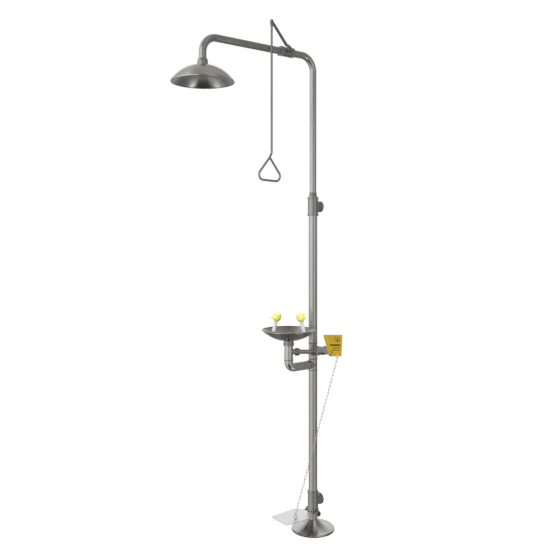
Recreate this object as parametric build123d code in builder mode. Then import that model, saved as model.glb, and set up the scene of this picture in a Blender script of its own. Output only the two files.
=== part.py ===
from build123d import *
import os
from math import cos, radians, sin, sqrt

os.makedirs("parts", exist_ok=True)

# Millimetres, +Z up. The origin is the centre of the column on the floor. The user stands on the -Y side,
# under the shower arm, and +X is at the user's right as seen from the column.

# ---- Pipe sizes: outer and inner radii of stainless steel tube
DN32_R, DN32_BORE = 42.4 / 2, 37.2 / 2
DN25_R, DN25_BORE = 33.7 / 2, 28.5 / 2
DN15_R, DN15_BORE = 21.3 / 2, 16.1 / 2

# ---- Heights of the main features above the floor
DRAIN_Z = 141.0
WASTE_Z = 810.0
SUPPLY_Z = 887.0
BOWL_RIM_Z = 989.5
INLET_Z = 1586.0
HEAD_RIM_Z = 2119.0
ARM_Z = 2320.0

# ---- Floor fixing and cover
PLATE_R, PLATE_T = 95.0, 8.0
HUB_R, HUB_TOP = 30.0, 36.0
BOLT_CIRCLE, BOLT_HOLE_R, BOLT_COUNT = 150.0, 6.5, 4
COVER_R, COVER_RIM_H, COVER_TOP_R, COVER_TOP_Z, COVER_ROUND = 105.0, 6.0, 26.0, 50.0, 4.0
COVER_FOOT_R, COVER_FOOT_RISE, COVER_WAIST_R, COVER_WAIST_Z = 57.75, 7.0, 37.8, 30.0
SHEET, PIPE_FIT = 1.2, 0.2

# ---- Tees
DRAIN_TEE_HALF, INLET_TEE_HALF, TEE_BODY_R, TEE_COLLAR_R = 48.0, 46.0, 25.5, 27.5
TEE_REACH, TEE_COLLAR_H, TEE_EDGE, TEE_BRANCH_BORE, SOCKET_DEPTH = 47.0, 9.0, 1.2, 17.1, 19.0
THREAD_G114_R, THREAD_G114_L = 39.0 / 2, 22.0
WELD_TEE_HALF, WELD_TEE_REACH, WELD_TEE_STEP, SUPPLY_REACH, SUPPLY_WALL = 28.0, 32.0, 0.1, 30.2, 2.0
REDUCER_H, REDUCER_END = 20.0, 3.0

# ---- Shower arm, valve and head
ARM_REACH, BEND_R = 630.0, 72.0
SHOWER_VALVE_Y = -167.5
HEAD_R, HEAD_DOME_R = 140.0, 171.0
HEAD_SOCKET_R, HEAD_SOCKET_H, HEAD_SPIGOT_R, HEAD_PIPE_STOP = 23.5, 28.0, 18.0, 8.0
HEAD_SOCKET_STEP, HEAD_SOCKET_EDGE, HEAD_SPIGOT_L, HEAD_BORE, HEAD_LIP = 16.8, 3.0, 14.0, 12.25, 4.0
HEAD_NUT_AF, HEAD_NUT_H = 42.0, 7.5
DEFLECTOR_R, DEFLECTOR_T, DEFLECTOR_DROP, POST_R, POST_CIRCLE_R, POST_COUNT = 42.0, 2.0, 14.0, 2.0, 20.1, 3
DEFLECTOR_HOLE_R, DEFLECTOR_HOLE_CIRCLE, DEFLECTOR_HOLES = 2.0, 34.0, 12

# ---- Ball valves: sizes of the shower's, which the eyewash's scales
SHOWER_VALVE_HALF, VALVE_SOCKET = 42.0, 14.0
VALVE_BARREL_R, VALVE_BARREL_HALF, VALVE_HEX = 22.5, 24.0, 42.0
CAVITY_R, CAVITY_HALF, SPIGOT_R, BALL_R, BALL_BORE, PORT_R = 15.5, 16.0, 18.0, 15.0, 9.5, 12.0
SEAT_FROM, SEAT_CLEAR, STEM_FOOT = 11.0, 0.3, 11.0
STEM_R, STEM_FIT, BOSS_R, BOSS_TOP = 5.0, 0.05, 10.0, 34.0
GLAND_AF, GLAND_H, LEVER_GAP = 22.0, 5.0, 1.0
LEVER_T, LEVER_NUT_AF, LEVER_NUT_H = 4.0, 16.0, 5.0
LEVER_FACE = BOSS_TOP + GLAND_H + LEVER_GAP
STEM_PROUD, STEM_CHAMFER = 2.0, 0.8
STEM_TOP = LEVER_FACE + LEVER_T + LEVER_NUT_H + STEM_PROUD
NUT_CORNER = 1.09

# ---- Shower lever: flat bar, cranked in towards the arm
LEVER_LENGTH, LEVER_ANGLE, LEVER_PLANE = 163.7, 48.7, 27.0
LEVER_HUB_R, LEVER_ROOT_R, LEVER_TIP_R = 11.0, 7.5, 6.5
CRANK_FROM, CRANK_TO, CRANK_STEP = 16.0, 34.0, 2.0

# ---- Pull rod, its clevis and its handle
ROD_R, ROD_BOTTOM_Z = 5.0, 1836.0
CLEVIS_GAP, CLEVIS_CHEEK, CLEVIS_R = 4.8, 2.6, 6.0
BRIDGE_FROM, BRIDGE_TO = 18.5, 26.0
CLEVIS_PIN_R, PIN_HEAD_R, PIN_HEAD_H, PIN_CLEAR = 2.5, 4.0, 1.5, 0.3
ROD_BEND_Z, HANDLE_KINK_Y, HANDLE_TOP_Z, HANDLE_WELD = 1828.0, -11.0, 1807.0, 0.82
HANDLE_FEET = ((-86.0, -104.0), (86.0, -111.0))
HANDLE_CORNER_R, HANDLE_KINK_R = 24.0, 12.0

# ---- Eyewash bowl and drain
BOWL_Y, BOWL_R, BOWL_DOME_R = -152.0, 128.0, 187.0
OUTLET_HOLE_R, OUTLET_FLANGE_R, BOWL_LIP = DN32_BORE, 28.0, 3.0
OUTLET_WALL, OUTLET_FOOT_Z, OUTLET_RIM_T, OUTLET_RIM_STEP = 2.2, 903.0, 2.0, 2.0
STRAINER_T, STRAINER_R, STRAINER_CIRCLE, STRAINER_HOLE_R, STRAINER_HOLES = 1.5, 23.5, 12.5, 1.6, 12
DRAIN_BEND_R, DRAIN_ARM_END = 32.0, 6.0
DRAIN_NUT_AF, DRAIN_NUT_H, DRAIN_NUT_Z = 47.0, 21.0, 917.0
DRAIN_NUT_HEX_H, DRAIN_NUT_SHOULDER, DRAIN_NUT_SOCKET = 16.0, 1.0, 12.0

# ---- Eyewash supply loop: all of its legs lie level at SUPPLY_Z
LOOP_TURN, LOOP_BACK = 53.0, 75.0
ELBOW_R, ELBOW_COLLAR_R, ELBOW_REACH, ELBOW_BEND_R, ELBOW_SOCKET = 12.5, 14.5, 22.0, 15.0, 6.0
EYE_VALVE_SIZE, EYE_VALVE_HALF, EYE_VALVE_GAP = 0.66, 33.0, 2.0
UNION_AF, UNION_FROM, UNION_FACE, UNION_TO, PIPE_BOSS_R = 36.0, 30.0, 38.0, 54.0, 13.0
UNION_COLLAR_H, UNION_STEP, PIPE_BOSS_FROM = 6.0, 3.0, 17.1
RISER_R, RISER_BORE, RISER_FROM, RISER_DEPTH, RISER_BEND_R = 8.0, 6.0, 24.0, 5.0, 12.0

# ---- Eyewash nozzles: distances run along each leaning nozzle from the manifold
MANIFOLD_Z, MANIFOLD_R, MANIFOLD_BORE, NOZZLE_SPAN = 968.5, 7.0, 4.5, 76.0
MANIFOLD_HUB_R, MANIFOLD_HUB_H, MANIFOLD_HUB_FOOT, MANIFOLD_CHAMFER = 12.5, 21.0, 11.0, 3.0
NOZZLE_TURN, NOZZLE_LEAN = 45.0, 12.5
SOCKET_FOOT, SOCKET_R, SPIGOT_DEPTH, STEM_SPIGOT_R = 6.5, 9.8, 9.0, 6.5
STEM_FROM, STEM_STEP, CONE_FROM, COLLAR_TOP, INSERT_TOP, CAP_TOP = 14.0, 6.0, 66.0, 80.0, 91.0, 108.0
STEM_BASE_R, STEM_NECK_R, INSERT_R, INSERT_WALL, INSERT_ROUND = 10.0, 8.0, 14.5, 3.0, 1.5
SPRAY_HOLE_R, SPRAY_RINGS = 1.2, ((4.2, 6), (8.4, 12))
CAP_R, CAP_WALL, CAP_GAP, CAP_ROUND = 20.0, 1.6, 0.6, 11.0
COLLAR_R, COLLAR_EDGE, COLLAR_WALL = 19.0, 4.0, 2.0
HINGE_X, HINGE_H, KNUCKLE_R, PIN_R, KNUCKLE_HALF, PIN_HALF = 24.2, 78.5, 3.2, 1.5, 4.0, 7.5
EAR_ROOT, EAR_ROOT_SIZE, EAR_SIDE_GAP = (16.5, 75.5), (3.0, 5.0), 0.3
KNUCKLE_ROOT, KNUCKLE_ROOT_SIZE = (19.4, 86.1), (0.8, 7.0)

# ---- Push plate and its bracket, in the plane of the valve lever
PUSH_PLATE_T, PUSH_PLATE_CORNER = 2.0, 5.0
PUSH_PLATE_TOP, PUSH_PLATE_BOTTOM = 88.0, -14.0
PUSH_PLATE_TOP_SPAN, PUSH_PLATE_BOTTOM_SPAN = (22.0, 114.0), (51.0, 109.0)
CHAIN_HOLE, CHAIN_HOLE_R = (90.0, -8.5), 3.0
RIVETS, RIVET_R, RIVET_HEAD_R, RIVET_HEAD_H = ((57.0, -6.0), (62.0, 6.0)), 2.5, 4.2, 1.4
BRACKET_HUB_R, BRACKET_BEND, BRACKET_BEND_R = 10.0, (5.0, 21.0), 9.0
BRACKET_END, BRACKET_END_R = (59.5, 0.0), 11.0

# ---- Chain
LINK_PITCH, LINK_WIRE_R, LINK_WIDTH, LINK_GAP = 17.0, 1.1, 7.0, 0.4
RING_R, RING_WIRE_R, END_RING_R = 7.0, 1.2, 9.0

# ---- Foot pedal
PIVOT_Z, PIVOT_R, PIVOT_FIT, LUG_WALL = 86.0, 4.0, 0.05, 2.5
PEDAL_COLLAR_R, PEDAL_COLLAR_FROM, PEDAL_COLLAR_TO = 28.5, 76.0, 92.8
EAR_X, EAR_T, EAR_R, EAR_GAP = 38.5, 2.5, 14.0, 0.5
BOLT_HEAD_AF, BOLT_HEAD_H, BOLT_CHAMFER, BOLT_FROM = 19.0, 7.0, 1.0, 22.2
RIB_FROM_Y, RIB_H = -80.0, 8.0
PEDAL_Z, PEDAL_T, PEDAL_CORNER_R = 90.0, 2.5, 14.0
PEDAL_BACK_Y, PEDAL_SHOULDER_Y, PEDAL_FRONT_Y = -31.0, -62.0, -214.0
PEDAL_BACK_HALF, PEDAL_SHOULDER_HALF, PEDAL_FRONT_HALF = 42.0, 68.0, 62.0
EYE_X, EYE_Y, EYE_R, EYE_WIRE_R, EYE_STUD_R, EYE_HEAD_R = 35.0, -137.0, 9.0, 1.3, 2.5, 4.5
EYE_HEAD_H, EYE_COLLAR_H, EYE_STUD_TOP, EYE_OVERLAP = 2.0, 1.5, 5.0, 7.0


# ---- Shared tools
def save(piece, name):
    """Labels a finished sub-part and writes it to its own file."""
    piece.part.label = name
    export_step(piece.part, f"parts/{name}.step")


def turned(plane, corners):
    """A body of revolution about the plane's normal, from (radius, height) corners."""
    side = Plane(origin=plane.origin, x_dir=plane.x_dir, z_dir=-plane.y_dir)
    with BuildPart() as piece:
        with BuildSketch(side):
            with BuildLine():
                Polyline(*corners, close=True)
            make_face()
        revolve(axis=Axis(plane.origin, plane.z_dir))
    return piece


def tube(plane, outer_r, bore_r, length):
    """A straight tube standing on a plane."""
    with BuildPart() as piece:
        with BuildSketch(plane):
            Circle(outer_r)
            Circle(bore_r, mode=Mode.SUBTRACT)
        extrude(amount=length)
    return piece


def bent_tube(points, bend_r, outer_r, bore_r):
    """A tube or rod along straight legs joined by bends; a bore of 0 leaves it solid."""
    with BuildPart() as piece:
        with BuildLine() as path:
            FilletPolyline(*points, radius=bend_r)
        with BuildSketch(Plane(origin=path.line @ 0, z_dir=path.line % 0)):
            Circle(outer_r)
            if bore_r:
                Circle(bore_r, mode=Mode.SUBTRACT)
        sweep(path=path.line)
    return piece


def hex_nut(plane, across_flats, bore_r, height):
    """A hexagonal nut with turned corners, standing on a plane."""
    with BuildPart() as piece:
        with BuildSketch(plane):
            RegularPolygon(across_flats / 2, 6, major_radius=False)
        extrude(amount=height)
        with BuildSketch(plane):
            Circle(across_flats / 2 * NUT_CORNER)
        extrude(amount=height, mode=Mode.INTERSECT)
        with BuildSketch(plane):
            Circle(bore_r)
        extrude(amount=height, mode=Mode.SUBTRACT)
    return piece


def group(pieces):
    """Several separate solids of one kind, kept together in one sub-part."""
    with BuildPart() as together:
        for piece in pieces:
            add(piece.part)
    return together


def bored_tee(z, branch_dir, half, reach, body_r, collar_r, socket_r, socket_depth, thread_r):
    """A socket tee on the column with a threaded branch."""
    bottom = Plane.XY.offset(z - half)
    branch = Plane(origin=(0, 0, z), z_dir=branch_dir)
    collars = (bottom, bottom.offset(2 * half - TEE_COLLAR_H), branch.offset(reach - TEE_COLLAR_H))
    with BuildPart() as piece:
        with BuildSketch(bottom):
            Circle(body_r)
        extrude(amount=2 * half)
        with BuildSketch(branch):
            Circle(body_r)
        extrude(amount=reach)
        for plane in collars:
            with BuildSketch(plane):
                Circle(collar_r)
            extrude(amount=TEE_COLLAR_H)
        fillet(piece.edges().filter_by(GeomType.CIRCLE).filter_by(lambda e: e.radius == collar_r), TEE_EDGE)
        with BuildSketch(bottom):
            Circle(DN32_BORE)
        extrude(amount=2 * half, mode=Mode.SUBTRACT)
        for plane in (bottom, bottom.offset(2 * half - socket_depth)):
            with BuildSketch(plane):
                Circle(socket_r)
            extrude(amount=socket_depth, mode=Mode.SUBTRACT)
        with BuildSketch(branch):
            Circle(TEE_BRANCH_BORE)
        extrude(amount=reach, mode=Mode.SUBTRACT)
        with BuildSketch(branch.offset(reach - THREAD_G114_L)):
            Circle(thread_r)
        extrude(amount=THREAD_G114_L, mode=Mode.SUBTRACT)
    return piece


def weld_tee(z, branch_dir, branch_r, branch_bore, reach):
    """A butt-weld tee of the column's own diameter with a smaller or equal branch."""
    bottom = Plane.XY.offset(z - WELD_TEE_HALF)
    branch = Plane(origin=(0, 0, z), z_dir=branch_dir)
    with BuildPart() as piece:
        with BuildSketch(bottom):
            Circle(DN32_R)
        extrude(amount=2 * WELD_TEE_HALF)
        with BuildSketch(branch):
            Circle(branch_r)
        extrude(amount=reach)
        with BuildSketch(bottom):
            Circle(DN32_BORE)
        extrude(amount=2 * WELD_TEE_HALF, mode=Mode.SUBTRACT)
        with BuildSketch(branch):
            Circle(branch_bore)
        extrude(amount=reach, mode=Mode.SUBTRACT)
    return piece


# ---- Base: floor flange, cover and the first pipe
with BuildPart() as floor_flange:
    Cylinder(PLATE_R, PLATE_T, align=(Align.CENTER, Align.CENTER, Align.MIN))
    with BuildSketch(Plane.XY.offset(PLATE_T)):
        Circle(HUB_R)
    extrude(amount=HUB_TOP - PLATE_T)
    fillet(floor_flange.faces().sort_by(Axis.Z)[-1].edges(), 1.5)
    with BuildSketch(Plane.XY.offset(PLATE_T)):
        Circle(DN32_R)
    extrude(amount=HUB_TOP, mode=Mode.SUBTRACT)
    with BuildSketch():
        Circle(DN32_BORE)
        with PolarLocations(BOLT_CIRCLE / 2, BOLT_COUNT, start_angle=45):
            Circle(BOLT_HOLE_R)
    extrude(amount=PLATE_T, mode=Mode.SUBTRACT)
save(floor_flange, "floor_flange")

with BuildPart() as base_cover:
    with BuildSketch(Plane.XZ):
        with BuildLine():
            rim = Line((COVER_R, 0), (COVER_R, COVER_RIM_H))
            corner = RadiusArc(rim @ 1, (COVER_R - COVER_ROUND, COVER_RIM_H + COVER_ROUND), -COVER_ROUND)
            slope = Bezier(corner @ 1, (COVER_FOOT_R, COVER_RIM_H + COVER_FOOT_RISE),
                           (COVER_WAIST_R, COVER_WAIST_Z), (COVER_TOP_R, COVER_TOP_Z))
            top = Line(slope @ 1, (DN32_R + PIPE_FIT, COVER_TOP_Z))
            inner_top = Line(top @ 1, (DN32_R + PIPE_FIT, COVER_TOP_Z - SHEET))
            inner_neck = Line(inner_top @ 1, (COVER_TOP_R - SHEET, COVER_TOP_Z - SHEET))
            inner_slope = Bezier(inner_neck @ 1, (COVER_WAIST_R - SHEET, COVER_WAIST_Z - SHEET),
                                 (COVER_FOOT_R - SHEET, COVER_RIM_H + COVER_FOOT_RISE - SHEET),
                                 (COVER_R - COVER_ROUND - 1, COVER_RIM_H + COVER_ROUND - SHEET))
            inner_corner = Line(inner_slope @ 1, (COVER_R - SHEET, COVER_RIM_H - 1))
            inner_rim = Line(inner_corner @ 1, (COVER_R - SHEET, 0))
            Line(inner_rim @ 1, rim @ 0)
        make_face()
    revolve(axis=Axis.Z)
save(base_cover, "base_cover")

nipple_top = DRAIN_Z - DRAIN_TEE_HALF + SOCKET_DEPTH
base_nipple = tube(Plane.XY.offset(PLATE_T), DN32_R, DN32_BORE, nipple_top - PLATE_T)
save(base_nipple, "base_nipple")

# ---- Column
drain_tee = bored_tee(DRAIN_Z, (0, 1, 0), DRAIN_TEE_HALF, TEE_REACH, TEE_BODY_R, TEE_COLLAR_R,
                      DN32_R, SOCKET_DEPTH, THREAD_G114_R)
save(drain_tee, "drain_tee")

lower_from = DRAIN_Z + DRAIN_TEE_HALF - SOCKET_DEPTH
lower_to = WASTE_Z - WELD_TEE_HALF
lower_column = tube(Plane.XY.offset(lower_from), DN32_R, DN32_BORE, lower_to - lower_from)
save(lower_column, "lower_column")

waste_tee = weld_tee(WASTE_Z, (0, -1, 0), DN32_R - WELD_TEE_STEP, DN32_BORE - WELD_TEE_STEP, WELD_TEE_REACH)
save(waste_tee, "waste_tee")

turn = radians(LOOP_TURN)
loop_dir = Vector(cos(turn), sin(turn), 0)
side_dir = Vector(sin(turn), -cos(turn), 0)

plug_from = WASTE_Z + WELD_TEE_HALF
supply_from = SUPPLY_Z - WELD_TEE_HALF
with BuildPart() as column_plug:
    with BuildSketch(Plane.XY.offset(plug_from)):
        Circle(DN32_R)
    extrude(amount=supply_from - plug_from)
save(column_plug, "column_plug")

supply_tee = weld_tee(SUPPLY_Z, loop_dir, DN15_R + SUPPLY_WALL, DN15_BORE, SUPPLY_REACH)
save(supply_tee, "supply_tee")

middle_from = SUPPLY_Z + WELD_TEE_HALF
middle_to = INLET_Z - INLET_TEE_HALF + SOCKET_DEPTH
middle_column = tube(Plane.XY.offset(middle_from), DN32_R, DN32_BORE, middle_to - middle_from)
save(middle_column, "middle_column")

inlet_tee = bored_tee(INLET_Z, (0, 1, 0), INLET_TEE_HALF, TEE_REACH, TEE_BODY_R, TEE_COLLAR_R,
                      DN32_R, SOCKET_DEPTH, THREAD_G114_R)
save(inlet_tee, "inlet_tee")

tee_top = INLET_Z + INLET_TEE_HALF
reducer = turned(Plane.XY, [
    (DN25_BORE, tee_top - SOCKET_DEPTH), (DN32_R, tee_top - SOCKET_DEPTH),
    (DN32_R, tee_top + REDUCER_END), (DN25_R, tee_top + REDUCER_H - REDUCER_END),
    (DN25_R, tee_top + REDUCER_H), (DN25_BORE, tee_top + REDUCER_H),
])
save(reducer, "reducer")

# ---- Shower arm
riser_end = SHOWER_VALVE_Y + SHOWER_VALVE_HALF - VALVE_SOCKET
riser_pipe = bent_tube([(0, 0, tee_top + REDUCER_H), (0, 0, ARM_Z), (0, riser_end, ARM_Z)],
                       BEND_R, DN25_R, DN25_BORE)
save(riser_pipe, "riser_pipe")

dome_centre = HEAD_RIM_Z - sqrt(HEAD_DOME_R**2 - HEAD_R**2)
head_neck = dome_centre + sqrt(HEAD_DOME_R**2 - HEAD_SOCKET_R**2)
arm_pipe = bent_tube([(0, SHOWER_VALVE_Y - SHOWER_VALVE_HALF + VALVE_SOCKET, ARM_Z), (0, -ARM_REACH, ARM_Z),
                      (0, -ARM_REACH, head_neck + HEAD_PIPE_STOP)], BEND_R, DN25_R, DN25_BORE)
save(arm_pipe, "arm_pipe")


def valve_plane(centre, flow):
    """Valve frame: local Z runs with the pipe, local X along the stem."""
    flow = Vector(flow)
    return Plane(origin=centre, x_dir=flow.cross(Vector(0, 0, 1)), z_dir=flow)


def valve_body(frame, size, half, socket_r):
    """Ball-valve body: one socketed hexagon end, a barrel with the ball's cavity, and the stem boss."""
    barrel_half = VALVE_BARREL_HALF * size
    stem = Plane(origin=frame.origin, x_dir=frame.z_dir, z_dir=frame.x_dir)
    with BuildPart() as piece:
        with BuildSketch(frame.offset(-half)):
            RegularPolygon(VALVE_HEX * size / 2, 6, major_radius=False)
        extrude(amount=half - barrel_half)
        with BuildSketch(frame.offset(-barrel_half)):
            Circle(VALVE_BARREL_R * size)
        extrude(amount=2 * barrel_half)
        with BuildSketch(stem):
            Circle(BOSS_R)
        extrude(amount=BOSS_TOP)
        with BuildSketch(frame.offset(-half)):
            Circle(socket_r)
        extrude(amount=VALVE_SOCKET * size, mode=Mode.SUBTRACT)
        with BuildSketch(frame.offset(-half)):
            Circle(PORT_R * size)
        extrude(amount=half, mode=Mode.SUBTRACT)
        with BuildSketch(frame.offset(-CAVITY_HALF * size)):
            Circle(CAVITY_R * size)
        extrude(amount=2 * CAVITY_HALF * size, mode=Mode.SUBTRACT)
        with BuildSketch(frame.offset(CAVITY_HALF * size)):
            Circle(SPIGOT_R * size)
        extrude(amount=barrel_half, mode=Mode.SUBTRACT)
        with BuildSketch(stem):
            Circle(STEM_R + STEM_FIT)
        extrude(amount=BOSS_TOP, mode=Mode.SUBTRACT)
    return piece


def valve_end(frame, size, half, socket_r):
    """The screwed end of a ball valve, opposite the body's own socket."""
    barrel_half = VALVE_BARREL_HALF * size
    with BuildPart() as piece:
        with BuildSketch(frame.offset(CAVITY_HALF * size)):
            Circle(SPIGOT_R * size)
        extrude(amount=barrel_half - CAVITY_HALF * size)
        with BuildSketch(frame.offset(barrel_half)):
            RegularPolygon(VALVE_HEX * size / 2, 6, major_radius=False)
        extrude(amount=half - barrel_half)
        with BuildSketch(frame.offset(CAVITY_HALF * size)):
            Circle(PORT_R * size)
        extrude(amount=half, mode=Mode.SUBTRACT)
        with BuildSketch(frame.offset(half - VALVE_SOCKET * size)):
            Circle(socket_r)
        extrude(amount=VALVE_SOCKET * size, mode=Mode.SUBTRACT)
    return piece


def valve_seats(frame, size):
    """Both seat rings, with faces hollowed to the ball."""
    with BuildPart() as piece:
        for start in (SEAT_FROM, -CAVITY_HALF):
            with BuildSketch(frame.offset(start * size)):
                Circle(CAVITY_R * size)
                Circle(BALL_BORE * size, mode=Mode.SUBTRACT)
            extrude(amount=(CAVITY_HALF - SEAT_FROM) * size)
        with Locations(frame):
            Sphere(BALL_R * size + SEAT_CLEAR, mode=Mode.SUBTRACT)
    return piece


def valve_ball(frame, size):
    """The ball, shut: its bore stands across the pipe."""
    stem = Plane(origin=frame.origin, x_dir=frame.z_dir, z_dir=frame.x_dir)
    across = Plane(origin=frame.origin, x_dir=frame.x_dir, z_dir=frame.y_dir)
    with BuildPart() as piece:
        with Locations(frame):
            Sphere(BALL_R * size)
        with BuildSketch(across):
            Circle(BALL_BORE * size)
        extrude(amount=BALL_R, both=True, mode=Mode.SUBTRACT)
        with BuildSketch(stem.offset(STEM_FOOT * size)):
            Circle(STEM_R)
        extrude(amount=BALL_R, mode=Mode.SUBTRACT)
    return piece


def valve_stem(frame, size):
    """The stem, from its seat in the ball to the top of the lever nut."""
    start = STEM_FOOT * size
    stem = Plane(origin=frame.origin, x_dir=frame.z_dir, z_dir=frame.x_dir)
    with BuildPart() as piece:
        with BuildSketch(stem.offset(start)):
            Circle(STEM_R)
        extrude(amount=STEM_TOP - start)
        chamfer(piece.edges().group_by(Axis(stem.origin, stem.z_dir))[-1], STEM_CHAMFER)
    return piece


def lever_nut(stem_plane):
    """The nut that holds a lever on its stem."""
    return hex_nut(stem_plane.offset(LEVER_FACE + LEVER_T), LEVER_NUT_AF, STEM_R, LEVER_NUT_H)


shower_frame = valve_plane((0, SHOWER_VALVE_Y, ARM_Z), (0, 1, 0))
shower_stem_plane = Plane(origin=shower_frame.origin, x_dir=shower_frame.z_dir, z_dir=shower_frame.x_dir)

shower_valve_body = valve_body(shower_frame, 1.0, SHOWER_VALVE_HALF, DN25_R)
save(shower_valve_body, "shower_valve_body")
shower_valve_end = valve_end(shower_frame, 1.0, SHOWER_VALVE_HALF, DN25_R)
save(shower_valve_end, "shower_valve_end")
shower_valve_ball = valve_ball(shower_frame, 1.0)
save(shower_valve_ball, "shower_valve_ball")
shower_valve_stem = valve_stem(shower_frame, 1.0)
save(shower_valve_stem, "shower_valve_stem")
shower_lever_nut = lever_nut(shower_stem_plane)
save(shower_lever_nut, "shower_lever_nut")

# The lever's own frame: local X runs along the lever, local Z out from the valve.
lever_angle = radians(LEVER_ANGLE)
lever_way = Vector(0, -cos(lever_angle), sin(lever_angle))
lever_frame = Plane(origin=shower_frame.origin, x_dir=lever_way, z_dir=(1, 0, 0))
rod_y = SHOWER_VALVE_Y + LEVER_LENGTH * lever_way.Y
rod_z = ARM_Z + LEVER_LENGTH * lever_way.Z
rod_x = LEVER_PLANE + LEVER_T / 2
with BuildPart() as shower_lever:
    with BuildSketch(lever_frame.offset(LEVER_PLANE)):
        Circle(LEVER_ROOT_R)
        with Locations((LEVER_LENGTH, 0)):
            Circle(LEVER_TIP_R)
        make_hull()
        Circle(LEVER_HUB_R)
        with Locations((LEVER_LENGTH, 0)):
            Circle(CLEVIS_PIN_R + PIN_CLEAR, mode=Mode.SUBTRACT)
    extrude(amount=LEVER_FACE + LEVER_T - LEVER_PLANE)
    side = Plane(origin=shower_frame.origin, x_dir=lever_way, z_dir=Vector(-1, 0, 0).cross(lever_way))
    with BuildSketch(side):
        with BuildLine():
            Polyline((-LEVER_HUB_R, LEVER_FACE), (CRANK_FROM, LEVER_FACE), (CRANK_TO, LEVER_PLANE),
                     (LEVER_LENGTH + LEVER_HUB_R, LEVER_PLANE),
                     (LEVER_LENGTH + LEVER_HUB_R, LEVER_PLANE + LEVER_T),
                     (CRANK_TO + CRANK_STEP, LEVER_PLANE + LEVER_T),
                     (CRANK_FROM + CRANK_STEP, LEVER_FACE + LEVER_T),
                     (-LEVER_HUB_R, LEVER_FACE + LEVER_T), close=True)
        make_face()
    extrude(amount=LEVER_HUB_R, both=True, mode=Mode.INTERSECT)
    with BuildSketch(shower_stem_plane.offset(LEVER_FACE)):
        Circle(STEM_R)
    extrude(amount=LEVER_T, mode=Mode.SUBTRACT)
save(shower_lever, "shower_lever")

# ---- Pull rod and handle, hung in the plane of the lever
clevis_half = CLEVIS_GAP / 2 + CLEVIS_CHEEK
with BuildPart() as rod_clevis:
    with BuildSketch(Plane.YZ.offset(rod_x - clevis_half)):
        with Locations((rod_y, rod_z)):
            Circle(CLEVIS_R)
        with Locations((rod_y, rod_z - BRIDGE_TO / 2)):
            Rectangle(2 * ROD_R, BRIDGE_TO)
    extrude(amount=2 * clevis_half)
    with BuildSketch(Plane.YZ.offset(rod_x - CLEVIS_GAP / 2)):
        with Locations((rod_y, rod_z + (CLEVIS_R - BRIDGE_FROM) / 2)):
            Rectangle(2 * CLEVIS_R, CLEVIS_R + BRIDGE_FROM)
    extrude(amount=CLEVIS_GAP, mode=Mode.SUBTRACT)
    with BuildSketch(Plane.YZ.offset(rod_x - clevis_half)):
        with Locations((rod_y, rod_z)):
            Circle(CLEVIS_PIN_R)
    extrude(amount=2 * clevis_half)
    for face_x in (rod_x - clevis_half - PIN_HEAD_H, rod_x + clevis_half):
        with BuildSketch(Plane.YZ.offset(face_x)):
            with Locations((rod_y, rod_z)):
                Circle(PIN_HEAD_R)
        extrude(amount=PIN_HEAD_H)
save(rod_clevis, "rod_clevis")

with BuildPart() as pull_rod:
    with BuildSketch(Plane(origin=(rod_x, rod_y, ROD_BOTTOM_Z))):
        Circle(ROD_R)
    extrude(amount=rod_z - BRIDGE_TO - ROD_BOTTOM_Z)
save(pull_rod, "pull_rod")

handle_top = Vector(HANDLE_KINK_Y, HANDLE_TOP_Z)
left_foot, right_foot = (handle_top + Vector(*foot) for foot in HANDLE_FEET)
weld_point = right_foot + (handle_top - right_foot) * HANDLE_WELD
with BuildPart() as pull_handle:
    with BuildLine(Plane(origin=(rod_x, rod_y, 0), x_dir=(0, 1, 0), z_dir=(1, 0, 0))) as loop:
        FilletPolyline((0, ROD_BOTTOM_Z), (0, ROD_BEND_Z), (handle_top.X, handle_top.Y),
                       (left_foot.X, left_foot.Y), (right_foot.X, right_foot.Y), (weld_point.X, weld_point.Y),
                       radius=[HANDLE_KINK_R, HANDLE_KINK_R, HANDLE_CORNER_R, HANDLE_CORNER_R])
    with BuildSketch(Plane(origin=(rod_x, rod_y, ROD_BOTTOM_Z), z_dir=loop.wire() % 0)):
        Circle(ROD_R)
    sweep(path=loop.wire())
    up_leg = handle_top - weld_point
    weld_start = (rod_x, rod_y + weld_point.X, weld_point.Y)
    with BuildSketch(Plane(origin=weld_start, z_dir=(0, up_leg.X, up_leg.Y))):
        Circle(ROD_R)
    extrude(amount=up_leg.length)
save(pull_handle, "pull_handle")

# ---- Shower head
head_axis = Plane(origin=(0, -ARM_REACH, 0))
head_socket = turned(head_axis, [
    (HEAD_BORE, head_neck - HEAD_SPIGOT_L), (HEAD_SPIGOT_R, head_neck - HEAD_SPIGOT_L),
    (HEAD_SPIGOT_R, head_neck), (HEAD_SOCKET_R, head_neck), (HEAD_SOCKET_R, head_neck + HEAD_SOCKET_STEP),
    (HEAD_SOCKET_R - HEAD_SOCKET_EDGE, head_neck + HEAD_SOCKET_H), (DN25_R, head_neck + HEAD_SOCKET_H),
    (DN25_R, head_neck + HEAD_PIPE_STOP), (HEAD_BORE, head_neck + HEAD_PIPE_STOP),
])
save(head_socket, "head_socket")

locknut_under = head_neck - SHEET - HEAD_NUT_H
head_locknut = hex_nut(Plane(origin=(0, -ARM_REACH, locknut_under)), HEAD_NUT_AF, HEAD_SPIGOT_R, HEAD_NUT_H)
save(head_locknut, "head_locknut")

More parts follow.
